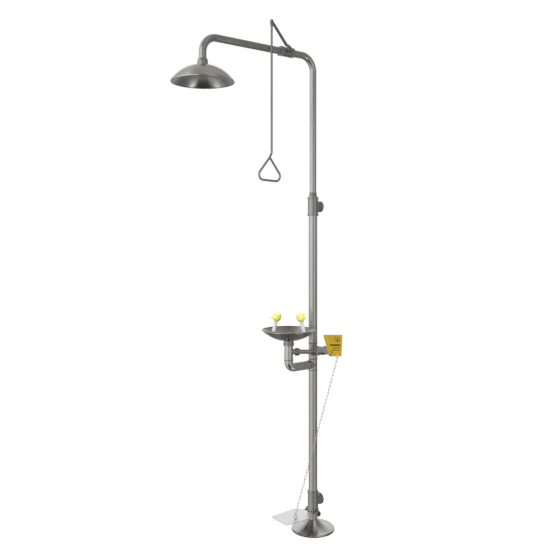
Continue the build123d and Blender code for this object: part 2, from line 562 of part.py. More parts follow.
with BuildPart() as head_shell:
    inner_r = HEAD_DOME_R - SHEET
    with BuildSketch(Plane(origin=(0, -ARM_REACH, 0), x_dir=(1, 0, 0), z_dir=(0, -1, 0))):
        with BuildLine():
            flat = Line((HEAD_SPIGOT_R, head_neck), (HEAD_SOCKET_R, head_neck))
            dome = RadiusArc(flat @ 1, (HEAD_R, HEAD_RIM_Z), HEAD_DOME_R)
            lip = Line(dome @ 1, (HEAD_R, HEAD_RIM_Z - HEAD_LIP))
            lip_in = Line(lip @ 1, (HEAD_R - SHEET, HEAD_RIM_Z - HEAD_LIP))
            inner_z = dome_centre + sqrt(inner_r**2 - (HEAD_R - SHEET)**2)
            lip_up = Line(lip_in @ 1, (HEAD_R - SHEET, inner_z))
            under = RadiusArc(lip_up @ 1, (HEAD_SOCKET_R, head_neck - SHEET), -inner_r)
            flat_in = Line(under @ 1, (HEAD_SPIGOT_R, head_neck - SHEET))
            Line(flat_in @ 1, flat @ 0)
        make_face()
    revolve(axis=Axis((0, -ARM_REACH, 0), (0, 0, 1)))
save(head_shell, "head_shell")

plate_z = locknut_under - DEFLECTOR_DROP
with BuildPart() as spray_deflector:
    with BuildSketch(Plane(origin=(0, -ARM_REACH, plate_z))):
        Circle(DEFLECTOR_R)
        with PolarLocations(DEFLECTOR_HOLE_CIRCLE, DEFLECTOR_HOLES):
            Circle(DEFLECTOR_HOLE_R, mode=Mode.SUBTRACT)
    extrude(amount=DEFLECTOR_T)
    with BuildSketch(Plane(origin=(0, -ARM_REACH, plate_z + DEFLECTOR_T))):
        with PolarLocations(POST_CIRCLE_R, POST_COUNT):
            Circle(POST_R)
    extrude(amount=DEFLECTOR_DROP - DEFLECTOR_T)
save(spray_deflector, "spray_deflector")

# ---- Eyewash drain
bowl_axis = Plane(origin=(0, BOWL_Y, 0))
dome_sag = BOWL_DOME_R - sqrt(BOWL_DOME_R**2 - BOWL_R**2)
flat_sag = BOWL_DOME_R - sqrt(BOWL_DOME_R**2 - OUTLET_FLANGE_R**2)
bowl_under = BOWL_RIM_Z - dome_sag + flat_sag
bowl_floor = bowl_under + SHEET
arm_top = WASTE_Z + DRAIN_BEND_R + DRAIN_ARM_END

drain_arm = bent_tube([(0, -WELD_TEE_REACH, WASTE_Z), (0, BOWL_Y, WASTE_Z), (0, BOWL_Y, arm_top)],
                      DRAIN_BEND_R, DN32_R, DN32_BORE)
save(drain_arm, "drain_arm")

union_line = Plane(origin=(0, BOWL_Y, SUPPLY_Z), z_dir=loop_dir)
with BuildPart() as drain_pipe:
    with BuildSketch(Plane(origin=(0, BOWL_Y, arm_top))):
        Circle(DN32_R)
        Circle(DN32_BORE, mode=Mode.SUBTRACT)
    extrude(amount=DRAIN_NUT_Z + DRAIN_NUT_SOCKET - arm_top)
    with BuildSketch(union_line.offset(PIPE_BOSS_FROM)):
        Circle(PIPE_BOSS_R)
    extrude(amount=UNION_FACE - PIPE_BOSS_FROM)
    with BuildSketch(union_line):
        Circle(RISER_R)
    extrude(amount=RISER_FROM, mode=Mode.SUBTRACT)
    with BuildSketch(union_line.offset(DN32_BORE)):
        Circle(RISER_BORE)
    extrude(amount=UNION_FACE, mode=Mode.SUBTRACT)
save(drain_pipe, "drain_pipe")

with BuildPart() as drain_nut:
    with BuildSketch(Plane(origin=(0, BOWL_Y, DRAIN_NUT_Z))):
        RegularPolygon(DRAIN_NUT_AF / 2, 6, major_radius=False)
    extrude(amount=DRAIN_NUT_HEX_H)
    with BuildSketch(Plane(origin=(0, BOWL_Y, DRAIN_NUT_Z))):
        Circle(DRAIN_NUT_AF / 2 * NUT_CORNER)
    extrude(amount=DRAIN_NUT_H, mode=Mode.INTERSECT)
    with BuildSketch(Plane(origin=(0, BOWL_Y, DRAIN_NUT_Z + DRAIN_NUT_HEX_H))):
        Circle(DRAIN_NUT_AF / 2 - DRAIN_NUT_SHOULDER)
    extrude(amount=bowl_under - DRAIN_NUT_Z - DRAIN_NUT_HEX_H)
    with BuildSketch(Plane(origin=(0, BOWL_Y, DRAIN_NUT_Z))):
        Circle(DN32_R)
    extrude(amount=DRAIN_NUT_SOCKET, mode=Mode.SUBTRACT)
    with BuildSketch(Plane(origin=(0, BOWL_Y, DRAIN_NUT_Z))):
        Circle(OUTLET_HOLE_R)
    extrude(amount=bowl_under - DRAIN_NUT_Z, mode=Mode.SUBTRACT)
save(drain_nut, "drain_nut")

bowl_outlet = turned(bowl_axis, [
    (OUTLET_HOLE_R - OUTLET_WALL, OUTLET_FOOT_Z), (OUTLET_HOLE_R, OUTLET_FOOT_Z), (OUTLET_HOLE_R, bowl_floor),
    (OUTLET_FLANGE_R - OUTLET_RIM_STEP, bowl_floor),
    (OUTLET_FLANGE_R - OUTLET_RIM_STEP, bowl_floor + OUTLET_RIM_T / 2),
    (OUTLET_FLANGE_R - 2 * OUTLET_RIM_STEP, bowl_floor + OUTLET_RIM_T),
    (OUTLET_HOLE_R - OUTLET_WALL, bowl_floor + OUTLET_RIM_T),
])
save(bowl_outlet, "bowl_outlet")

with BuildPart() as bowl_strainer:
    with BuildSketch(Plane(origin=(0, BOWL_Y, bowl_floor + OUTLET_RIM_T))):
        Circle(STRAINER_R)
        Circle(RISER_R, mode=Mode.SUBTRACT)
        with PolarLocations(STRAINER_CIRCLE, STRAINER_HOLES):
            Circle(STRAINER_HOLE_R, mode=Mode.SUBTRACT)
    extrude(amount=STRAINER_T)
save(bowl_strainer, "bowl_strainer")

# ---- Eyewash bowl
with BuildPart() as eyewash_bowl:
    bowl_centre = BOWL_RIM_Z - dome_sag + BOWL_DOME_R
    inside_r = BOWL_DOME_R - SHEET
    inside_floor = bowl_centre - sqrt(inside_r**2 - OUTLET_FLANGE_R**2)
    inside_rim = bowl_centre - sqrt(inside_r**2 - (BOWL_R - SHEET)**2)
    with BuildSketch(Plane(origin=(0, BOWL_Y, 0), x_dir=(1, 0, 0), z_dir=(0, -1, 0))):
        with BuildLine():
            base = Line((OUTLET_HOLE_R, bowl_under), (OUTLET_FLANGE_R, bowl_under))
            outside = RadiusArc(base @ 1, (BOWL_R, BOWL_RIM_Z), -BOWL_DOME_R)
            lip = Line(outside @ 1, (BOWL_R, BOWL_RIM_Z + BOWL_LIP))
            lip_in = Line(lip @ 1, (BOWL_R - SHEET, BOWL_RIM_Z + BOWL_LIP))
            lip_down = Line(lip_in @ 1, (BOWL_R - SHEET, inside_rim))
            inside = RadiusArc(lip_down @ 1, (OUTLET_FLANGE_R, inside_floor), inside_r)
            step = Line(inside @ 1, (OUTLET_FLANGE_R, bowl_floor))
            floor_in = Line(step @ 1, (OUTLET_HOLE_R, bowl_floor))
            Line(floor_in @ 1, base @ 0)
        make_face()
    revolve(axis=Axis((0, BOWL_Y, 0), (0, 0, 1)))
save(eyewash_bowl, "eyewash_bowl")


# ---- Eyewash supply loop
def threaded_elbow(corner, towards_start, towards_end):
    """A quarter elbow with collared sockets; both directions point away from its corner."""
    ends = [Plane(origin=corner + way * ELBOW_REACH, z_dir=way * -1) for way in (towards_start, towards_end)]
    with BuildPart() as piece:
        with BuildLine() as path:
            FilletPolyline(ends[0].origin, corner, ends[1].origin, radius=ELBOW_BEND_R)
        with BuildSketch(Plane(origin=path.line @ 0, z_dir=path.line % 0)):
            Circle(ELBOW_R)
        sweep(path=path.line)
        for end in ends:
            with BuildSketch(end):
                Circle(ELBOW_COLLAR_R)
            extrude(amount=ELBOW_SOCKET)
        with BuildSketch(Plane(origin=path.line @ 0, z_dir=path.line % 0)):
            Circle(DN15_BORE)
        sweep(path=path.line, mode=Mode.SUBTRACT)
        for end in ends:
            with BuildSketch(end):
                Circle(DN15_R)
            extrude(amount=ELBOW_SOCKET, mode=Mode.SUBTRACT)
    return piece


up = Vector(0, 0, 1)
back_corner = loop_dir * LOOP_BACK + up * SUPPLY_Z
loop_side = -BOWL_Y * cos(turn)
front_corner = back_corner + side_dir * loop_side
drain_point = Vector(0, BOWL_Y, SUPPLY_Z)
front_run = (front_corner - drain_point).length
eye_valve_at = front_run - ELBOW_REACH - EYE_VALVE_GAP - EYE_VALVE_HALF
eye_socket = VALVE_SOCKET * EYE_VALVE_SIZE

supply_elbows = group([threaded_elbow(back_corner, loop_dir * -1, side_dir),
                       threaded_elbow(front_corner, side_dir * -1, loop_dir * -1)])
save(supply_elbows, "supply_elbows")

with BuildPart() as supply_nipples:
    legs = (
        (Plane(origin=loop_dir * SUPPLY_REACH + up * SUPPLY_Z, z_dir=loop_dir),
         LOOP_BACK - ELBOW_REACH + ELBOW_SOCKET - SUPPLY_REACH),
        (Plane(origin=back_corner + side_dir * (ELBOW_REACH - ELBOW_SOCKET), z_dir=side_dir),
         loop_side - 2 * (ELBOW_REACH - ELBOW_SOCKET)),
        (Plane(origin=drain_point + loop_dir * (eye_valve_at + EYE_VALVE_HALF - eye_socket), z_dir=loop_dir),
         eye_socket + EYE_VALVE_GAP + ELBOW_SOCKET),
    )
    for start, length in legs:
        with BuildSketch(start):
            Circle(DN15_R)
            Circle(DN15_BORE, mode=Mode.SUBTRACT)
        extrude(amount=length)
save(supply_nipples, "supply_nipples")

supply_pipe = tube(Plane(origin=drain_point + loop_dir * UNION_FACE, z_dir=loop_dir), DN15_R, DN15_BORE,
                   eye_valve_at - EYE_VALVE_HALF + eye_socket - UNION_FACE)
save(supply_pipe, "supply_pipe")

with BuildPart() as union_nut:
    with BuildSketch(union_line.offset(UNION_FROM)):
        RegularPolygon(UNION_AF / 2, 6, major_radius=False)
    extrude(amount=UNION_TO - UNION_FROM - UNION_COLLAR_H)
    with BuildSketch(union_line.offset(UNION_FROM)):
        Circle(UNION_AF / 2 * NUT_CORNER)
    extrude(amount=UNION_TO - UNION_FROM, mode=Mode.INTERSECT)
    with BuildSketch(union_line.offset(UNION_TO - UNION_COLLAR_H)):
        Circle(UNION_AF / 2 - UNION_STEP)
    extrude(amount=UNION_COLLAR_H)
    with BuildSketch(union_line.offset(UNION_FROM)):
        Circle(PIPE_BOSS_R)
    extrude(amount=UNION_FACE - UNION_FROM, mode=Mode.SUBTRACT)
    with BuildSketch(union_line.offset(UNION_FACE)):
        Circle(DN15_R)
    extrude(amount=UNION_TO, mode=Mode.SUBTRACT)
save(union_nut, "union_nut")

riser_top = MANIFOLD_Z - RISER_DEPTH
supply_riser = bent_tube([drain_point + loop_dir * RISER_FROM, drain_point, (0, BOWL_Y, riser_top)],
                         RISER_BEND_R, RISER_R, RISER_BORE)
save(supply_riser, "supply_riser")

# ---- Eyewash valve
eye_frame = valve_plane(drain_point + loop_dir * eye_valve_at, loop_dir)
eye_stem_plane = Plane(origin=eye_frame.origin, x_dir=loop_dir, z_dir=side_dir)

eyewash_valve_body = valve_body(eye_frame, EYE_VALVE_SIZE, EYE_VALVE_HALF, DN15_R)
save(eyewash_valve_body, "eyewash_valve_body")
eyewash_valve_end = valve_end(eye_frame, EYE_VALVE_SIZE, EYE_VALVE_HALF, DN15_R)
save(eyewash_valve_end, "eyewash_valve_end")
seats = group([valve_seats(shower_frame, 1.0), valve_seats(eye_frame, EYE_VALVE_SIZE)])
save(seats, "valve_seats")
eyewash_valve_ball = valve_ball(eye_frame, EYE_VALVE_SIZE)
save(eyewash_valve_ball, "eyewash_valve_ball")
eyewash_valve_stem = valve_stem(eye_frame, EYE_VALVE_SIZE)
save(eyewash_valve_stem, "eyewash_valve_stem")
gland_nuts = group([hex_nut(plane.offset(BOSS_TOP), GLAND_AF, STEM_R + STEM_FIT, GLAND_H)
                    for plane in (shower_stem_plane, eye_stem_plane)])
save(gland_nuts, "gland_nuts")
eyewash_lever_nut = lever_nut(eye_stem_plane)
save(eyewash_lever_nut, "eyewash_lever_nut")

# ---- Push plate, its bracket and rivets
with BuildPart() as lever_bracket:
    with BuildSketch(eye_stem_plane.offset(LEVER_FACE)):
        Circle(BRACKET_HUB_R)
        with Locations(BRACKET_BEND):
            Circle(BRACKET_BEND_R)
        make_hull()
        with BuildSketch(mode=Mode.PRIVATE) as strip:
            with Locations(BRACKET_BEND):
                Circle(BRACKET_BEND_R)
            with Locations(BRACKET_END):
                Circle(BRACKET_END_R)
            make_hull()
        add(strip)
        Circle(STEM_R, mode=Mode.SUBTRACT)
        with Locations(*RIVETS):
            Circle(RIVET_R, mode=Mode.SUBTRACT)
    extrude(amount=LEVER_T)
save(lever_bracket, "lever_bracket")

plate_from = LEVER_FACE + LEVER_T
with BuildPart() as push_plate:
    with BuildSketch(eye_stem_plane.offset(plate_from)) as outline:
        with BuildLine():
            Polyline((PUSH_PLATE_TOP_SPAN[0], PUSH_PLATE_TOP), (PUSH_PLATE_TOP_SPAN[1], PUSH_PLATE_TOP),
                     (PUSH_PLATE_BOTTOM_SPAN[1], PUSH_PLATE_BOTTOM),
                     (PUSH_PLATE_BOTTOM_SPAN[0], PUSH_PLATE_BOTTOM), close=True)
        make_face()
        fillet(outline.vertices(), PUSH_PLATE_CORNER)
        with Locations(CHAIN_HOLE):
            Circle(CHAIN_HOLE_R, mode=Mode.SUBTRACT)
        with Locations(*RIVETS):
            Circle(RIVET_R, mode=Mode.SUBTRACT)
    extrude(amount=PUSH_PLATE_T)
save(push_plate, "push_plate")

with BuildPart() as plate_rivets:
    stack = LEVER_T + PUSH_PLATE_T
    for start, radius, height in ((LEVER_FACE - RIVET_HEAD_H, RIVET_HEAD_R, RIVET_HEAD_H),
                                  (LEVER_FACE, RIVET_R, stack),
                                  (LEVER_FACE + stack, RIVET_HEAD_R, RIVET_HEAD_H)):
        with BuildSketch(eye_stem_plane.offset(start)):
            with Locations(*RIVETS):
                Circle(radius)
        extrude(amount=height)
save(plate_rivets, "plate_rivets")

# ---- Nozzles
nozzle_turn, nozzle_lean = radians(NOZZLE_TURN), radians(NOZZLE_LEAN)


def nozzle_plane(side):
    """Frame of one nozzle: local Z leans towards the bowl's centre, local X points away from it."""
    out = Vector(cos(nozzle_turn), sin(nozzle_turn), 0) * side
    foot = Vector(0, BOWL_Y, MANIFOLD_Z) + out * NOZZLE_SPAN
    return Plane(origin=foot, x_dir=out * cos(nozzle_lean) + up * sin(nozzle_lean),
                 z_dir=up * cos(nozzle_lean) - out * sin(nozzle_lean))


nozzles = {"left": nozzle_plane(-1), "right": nozzle_plane(1)}

with BuildPart() as nozzle_manifold:
    bar = Plane(origin=(0, BOWL_Y, MANIFOLD_Z), z_dir=(cos(nozzle_turn), sin(nozzle_turn), 0))
    hub_foot = Plane(origin=(0, BOWL_Y, MANIFOLD_Z - MANIFOLD_HUB_FOOT))
    with BuildSketch(hub_foot):
        Circle(MANIFOLD_HUB_R)
    extrude(amount=MANIFOLD_HUB_H)
    chamfer(nozzle_manifold.faces().sort_by(Axis.Z)[-1].edges(), MANIFOLD_CHAMFER)
    with BuildSketch(bar):
        Circle(MANIFOLD_R)
    extrude(amount=NOZZLE_SPAN, both=True)
    for nozzle in nozzles.values():
        with BuildSketch(nozzle.offset(-SOCKET_FOOT)):
            Circle(SOCKET_R)
        extrude(amount=STEM_FROM + SOCKET_FOOT)
    with BuildSketch(bar):
        Circle(MANIFOLD_BORE)
    extrude(amount=NOZZLE_SPAN, both=True, mode=Mode.SUBTRACT)
    for nozzle in nozzles.values():
        with BuildSketch(nozzle):
            Circle(MANIFOLD_BORE)
        extrude(amount=STEM_FROM, mode=Mode.SUBTRACT)
        with BuildSketch(nozzle.offset(STEM_FROM - SPIGOT_DEPTH)):
            Circle(STEM_SPIGOT_R)
        extrude(amount=SPIGOT_DEPTH, mode=Mode.SUBTRACT)
    with BuildSketch(hub_foot):
        Circle(RISER_BORE)
    extrude(amount=MANIFOLD_HUB_FOOT, mode=Mode.SUBTRACT)
    with BuildSketch(hub_foot):
        Circle(RISER_R)
    extrude(amount=riser_top - MANIFOLD_Z + MANIFOLD_HUB_FOOT, mode=Mode.SUBTRACT)
save(nozzle_manifold, "nozzle_manifold")


def hinge_plane(nozzle):
    """Plane across a nozzle's hinge pin, through the nozzle's axis."""
    return Plane(origin=nozzle.origin, x_dir=nozzle.x_dir, z_dir=-nozzle.y_dir)


def nozzle_stem(nozzle):
    """Tapered plastic stem, spigoted into the manifold."""
    return turned(nozzle, [
        (MANIFOLD_BORE, STEM_FROM - SPIGOT_DEPTH), (STEM_SPIGOT_R, STEM_FROM - SPIGOT_DEPTH),
        (STEM_SPIGOT_R, STEM_FROM), (STEM_BASE_R, STEM_FROM), (STEM_BASE_R, STEM_FROM + STEM_STEP),
        (STEM_NECK_R, CONE_FROM), (STEM_NECK_R, COLLAR_TOP), (MANIFOLD_BORE, COLLAR_TOP),
    ])


def cap_collar(nozzle):
    """Flared collar on a stem, with the two ears of the cap's hinge."""
    hinge = hinge_plane(nozzle)
    with BuildPart() as piece:
        with BuildSketch(nozzle.offset(CONE_FROM)):
            Circle(STEM_NECK_R + COLLAR_WALL)
        with BuildSketch(nozzle.offset(COLLAR_TOP - COLLAR_EDGE)):
            Circle(COLLAR_R)
        loft()
        with BuildSketch(nozzle.offset(COLLAR_TOP - COLLAR_EDGE)):
            Circle(COLLAR_R)
        extrude(amount=COLLAR_EDGE)
        for from_y in (KNUCKLE_HALF + EAR_SIDE_GAP, -PIN_HALF):
            with BuildSketch(hinge.offset(from_y)):
                with Locations((HINGE_X, HINGE_H)):
                    Circle(KNUCKLE_R)
                with Locations(EAR_ROOT):
                    Rectangle(*EAR_ROOT_SIZE)
                make_hull()
            extrude(amount=PIN_HALF - KNUCKLE_HALF - EAR_SIDE_GAP)
        with BuildSketch(nozzle.offset(CONE_FROM)):
            Circle(STEM_NECK_R)
        extrude(amount=COLLAR_TOP, mode=Mode.SUBTRACT)
        with BuildSketch(hinge):
            with Locations((HINGE_X, HINGE_H)):
                Circle(PIN_R)
        extrude(amount=PIN_HALF, both=True, mode=Mode.SUBTRACT)
    return piece


def spray_insert(nozzle):
    """Drilled spray head, hollow underneath."""
    with BuildPart() as piece:
        with BuildSketch(nozzle.offset(COLLAR_TOP)):
            Circle(INSERT_R)
        extrude(amount=INSERT_TOP - COLLAR_TOP)
        fillet(piece.edges().group_by(Axis(nozzle.origin, nozzle.z_dir))[-1], INSERT_ROUND)
        with BuildSketch(nozzle.offset(COLLAR_TOP)):
            Circle(INSERT_R - INSERT_WALL)
        extrude(amount=INSERT_TOP - COLLAR_TOP - INSERT_WALL, mode=Mode.SUBTRACT)
        with BuildSketch(nozzle.offset(INSERT_TOP - INSERT_WALL)):
            Circle(SPRAY_HOLE_R)
            for ring_r, holes in SPRAY_RINGS:
                with PolarLocations(ring_r, holes):
                    Circle(SPRAY_HOLE_R)
        extrude(amount=INSERT_WALL, mode=Mode.SUBTRACT)
    return piece


def dust_cap(nozzle):
    """Domed hollow cap with its hinge knuckle."""
    hinge = hinge_plane(nozzle)
    axis = Axis(nozzle.origin, nozzle.z_dir)
    cap_from = COLLAR_TOP + CAP_GAP
    with BuildPart() as piece:
        with BuildSketch(nozzle.offset(cap_from)):
            Circle(CAP_R)
        extrude(amount=CAP_TOP - cap_from)
        fillet(piece.edges().group_by(axis)[-1], CAP_ROUND)
        offset(amount=-CAP_WALL, openings=piece.faces().sort_by(axis)[0])
        with BuildSketch(hinge.offset(-KNUCKLE_HALF)):
            with Locations((HINGE_X, HINGE_H)):
                Circle(KNUCKLE_R)
            with Locations(KNUCKLE_ROOT):
                Rectangle(*KNUCKLE_ROOT_SIZE)
            make_hull()
        extrude(amount=2 * KNUCKLE_HALF)
        with BuildSketch(hinge):
            with Locations((HINGE_X, HINGE_H)):
                Circle(PIN_R + STEM_FIT)
        extrude(amount=PIN_HALF, both=True, mode=Mode.SUBTRACT)
    return piece


nozzle_stems = group([nozzle_stem(nozzle) for nozzle in nozzles.values()])
save(nozzle_stems, "nozzle_stems")
cap_collars = group([cap_collar(nozzle) for nozzle in nozzles.values()])
save(cap_collars, "cap_collars")
spray_inserts = group([spray_insert(nozzle) for nozzle in nozzles.values()])
save(spray_inserts, "spray_inserts")
for side, nozzle in nozzles.items():
    cap = dust_cap(nozzle)
    save(cap, f"dust_cap_{side}")

with BuildPart() as cap_pins:
    for nozzle in nozzles.values():
        with BuildSketch(hinge_plane(nozzle)):
            with Locations((HINGE_X, HINGE_H)):
                Circle(PIN_R)
        extrude(amount=PIN_HALF, both=True)
save(cap_pins, "cap_pins")

# ---- Foot pedal
pivot_line = Plane(origin=(0, 0, PIVOT_Z), x_dir=(0, 1, 0), z_dir=(1, 0, 0))
with BuildPart() as pedal_collar:
    with BuildSketch(Plane.XY.offset(PEDAL_COLLAR_FROM)):
        Circle(PEDAL_COLLAR_R)
    extrude(amount=PEDAL_COLLAR_TO - PEDAL_COLLAR_FROM)
    with BuildSketch(pivot_line):
        Circle(PIVOT_R + LUG_WALL)
    extrude(amount=EAR_X - EAR_GAP, both=True)
    with BuildSketch(Plane.XY.offset(PEDAL_COLLAR_FROM)):
        Circle(DN32_R)
    extrude(amount=PEDAL_COLLAR_TO - PEDAL_COLLAR_FROM, mode=Mode.SUBTRACT)
    with BuildSketch(pivot_line):
        Circle(PIVOT_R)
    extrude(amount=EAR_X, both=True, mode=Mode.SUBTRACT)
save(pedal_collar, "pedal_collar")

with BuildPart() as pivot_bolts:
    for way in (-1, 1):
        bolt_line = Plane(origin=(0, 0, PIVOT_Z), x_dir=(0, 1, 0), z_dir=(way, 0, 0))
        head_from = EAR_X + EAR_T + EAR_GAP
        with BuildSketch(bolt_line.offset(BOLT_FROM)):
            Circle(PIVOT_R)
        extrude(amount=head_from - BOLT_FROM)
        with BuildSketch(bolt_line.offset(head_from)):
            RegularPolygon(BOLT_HEAD_AF / 2, 6, major_radius=False)
        extrude(amount=BOLT_HEAD_H)
        chamfer(pivot_bolts.faces().sort_by(Axis.X)[-1 if way > 0 else 0].edges(), BOLT_CHAMFER)
save(pivot_bolts, "pivot_bolts")

with BuildPart() as foot_pedal:
    with BuildSketch(Plane.XY.offset(PEDAL_Z)) as tread:
        with BuildLine():
            Polyline((-PEDAL_BACK_HALF, PEDAL_BACK_Y), (PEDAL_BACK_HALF, PEDAL_BACK_Y),
                     (PEDAL_SHOULDER_HALF, PEDAL_SHOULDER_Y), (PEDAL_FRONT_HALF, PEDAL_FRONT_Y),
                     (-PEDAL_FRONT_HALF, PEDAL_FRONT_Y), (-PEDAL_SHOULDER_HALF, PEDAL_SHOULDER_Y),
                     close=True)
        make_face()
        fillet(tread.vertices().filter_by_position(Axis.Y, PEDAL_FRONT_Y - 1, PEDAL_SHOULDER_Y + 1),
               PEDAL_CORNER_R)
        with Locations((EYE_X, EYE_Y)):
            Circle(EYE_STUD_R, mode=Mode.SUBTRACT)
    extrude(amount=PEDAL_T)
    for from_x in (-EAR_X - EAR_T, EAR_X):
        with BuildSketch(Plane(origin=(from_x, 0, 0), x_dir=(0, 1, 0), z_dir=(1, 0, 0))):
            with Locations((0, PIVOT_Z)):
                Circle(EAR_R)
            with Locations((RIB_FROM_Y / 2, PEDAL_Z - RIB_H / 2)):
                Rectangle(-RIB_FROM_Y, RIB_H)
            with Locations((0, PIVOT_Z)):
                Circle(PIVOT_R + PIVOT_FIT, mode=Mode.SUBTRACT)
        extrude(amount=EAR_T)
save(foot_pedal, "foot_pedal")

# ---- Chain from the push plate to the pedal
hole_centre = (eye_frame.origin + side_dir * (plate_from + PUSH_PLATE_T / 2) + loop_dir * CHAIN_HOLE[0]
               + up * CHAIN_HOLE[1])
eye_foot = PEDAL_Z + EYE_STUD_TOP
end_ring_centre = Vector(EYE_X, EYE_Y, eye_foot + EYE_R + EYE_OVERLAP)
chain_top = hole_centre - up * (2 * RING_R - RING_WIRE_R - LINK_WIRE_R - LINK_GAP)
chain_bottom = end_ring_centre + up * (END_RING_R - RING_WIRE_R - LINK_WIRE_R - LINK_GAP)
chain_run = chain_bottom - chain_top
hook = 2 * LINK_WIRE_R + LINK_GAP
link_count = round((chain_run.length - hook) / LINK_PITCH)
link_pitch = (chain_run.length - hook) / link_count
link_length = link_pitch + hook
chain_way = chain_run.normalized()
across = (loop_dir - chain_way * loop_dir.dot(chain_way)).normalized()
turned_across = chain_way.cross(across)
last_across = across if link_count % 2 else turned_across

with BuildPart() as link:
    straight = link_length - LINK_WIDTH
    with BuildLine() as link_path:
        upper = Line((-straight / 2, LINK_WIDTH / 2), (straight / 2, LINK_WIDTH / 2))
        front = RadiusArc(upper @ 1, (straight / 2, -LINK_WIDTH / 2), LINK_WIDTH / 2)
        lower = Line(front @ 1, (-straight / 2, -LINK_WIDTH / 2))
        RadiusArc(lower @ 1, upper @ 0, LINK_WIDTH / 2)
    with BuildSketch(Plane(origin=upper @ 0.5, z_dir=(1, 0, 0))):
        Circle(LINK_WIRE_R)
    sweep(path=link_path.wire())

with BuildPart() as pedal_chain:
    for index in range(link_count):
        centre = chain_top + chain_way * (link_length / 2 + index * link_pitch)
        width_way = turned_across if index % 2 else across
        with Locations(Plane(origin=centre, x_dir=chain_way, z_dir=chain_way.cross(width_way))):
            add(link.part)
save(pedal_chain, "pedal_chain")

ring_way = Vector(last_across.Y, -last_across.X, 0).normalized()
with BuildPart() as chain_rings:
    with Locations(Plane(origin=hole_centre - up * RING_R, x_dir=side_dir, z_dir=loop_dir)):
        Torus(RING_R, RING_WIRE_R)
    with Locations(Plane(origin=end_ring_centre, x_dir=ring_way, z_dir=ring_way.cross(up))):
        Torus(END_RING_R, RING_WIRE_R)
save(chain_rings, "chain_rings")

with BuildPart() as pedal_eye:
    stud = Plane(origin=(EYE_X, EYE_Y, PEDAL_Z))
    with BuildSketch(stud.offset(-EYE_HEAD_H)):
        Circle(EYE_HEAD_R)
    extrude(amount=EYE_HEAD_H)
    with BuildSketch(stud):
        Circle(EYE_STUD_R)
    extrude(amount=eye_foot - PEDAL_Z)
    with BuildSketch(stud.offset(PEDAL_T)):
        Circle(EYE_HEAD_R)
    extrude(amount=EYE_COLLAR_H)
    with Locations(Plane(origin=(EYE_X, EYE_Y, eye_foot + EYE_R), x_dir=up, z_dir=ring_way)):
        Torus(EYE_R, EYE_WIRE_R)
save(pedal_eye, "pedal_eye")
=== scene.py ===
import math
import bmesh
import bpy
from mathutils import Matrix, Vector


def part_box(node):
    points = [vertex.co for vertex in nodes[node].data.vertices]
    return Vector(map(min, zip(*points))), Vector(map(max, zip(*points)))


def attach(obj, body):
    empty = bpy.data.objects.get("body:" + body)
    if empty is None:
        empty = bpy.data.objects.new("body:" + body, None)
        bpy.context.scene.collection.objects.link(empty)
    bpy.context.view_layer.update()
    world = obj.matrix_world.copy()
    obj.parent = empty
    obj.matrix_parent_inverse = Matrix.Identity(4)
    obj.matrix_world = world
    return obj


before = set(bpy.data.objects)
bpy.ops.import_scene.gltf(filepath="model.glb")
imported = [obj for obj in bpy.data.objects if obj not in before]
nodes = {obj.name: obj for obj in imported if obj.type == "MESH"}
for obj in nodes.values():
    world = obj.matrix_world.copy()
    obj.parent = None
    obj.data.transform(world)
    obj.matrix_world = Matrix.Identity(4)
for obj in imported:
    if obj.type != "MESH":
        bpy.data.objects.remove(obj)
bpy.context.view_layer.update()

# Directions in the shared frame. The supply loop, its valve and the push plate are turned about the column.
LOOP_TURN = math.radians(53)
LOOP = Vector((math.cos(LOOP_TURN), math.sin(LOOP_TURN), 0))
SIDE = Vector((math.sin(LOOP_TURN), -math.cos(LOOP_TURN), 0))
UP = Vector((0, 0, 1))
ALONG_Y = Vector((0, 1, 0))

# ---- Camera: level, turned to the photograph's side of the object
CAMERA_TURN = math.radians(53)
CAMERA_FORWARD = Vector((-math.sin(CAMERA_TURN), math.cos(CAMERA_TURN), 0))
CAMERA_RIGHT = Vector((math.cos(CAMERA_TURN), math.sin(CAMERA_TURN), 0))
CAMERA_DISTANCE, CAMERA_OFFSET, CAMERA_HEIGHT = 3.374, 0.187, 1.456
CAMERA_LENS, CAMERA_SHIFT_Y = 44.84, -0.0764

# The turn about Z that brings the photograph's side of the object to an angle of 0.
TO_FRONT = math.radians(90) - CAMERA_TURN


def add_camera():
    data = bpy.data.cameras.new("camera")
    data.lens = CAMERA_LENS
    data.shift_y = CAMERA_SHIFT_Y
    camera = bpy.data.objects.new("camera", data)
    bpy.context.scene.collection.objects.link(camera)
    camera.location = UP * CAMERA_HEIGHT - CAMERA_FORWARD * CAMERA_DISTANCE - CAMERA_RIGHT * CAMERA_OFFSET
    camera.rotation_euler = (math.radians(90), 0, CAMERA_TURN)
    bpy.context.scene.camera = camera


add_camera()


# ---- Node helpers for the materials and the stage
def shade(colour, factor):
    return tuple(min(1.0, channel * factor) for channel in colour)


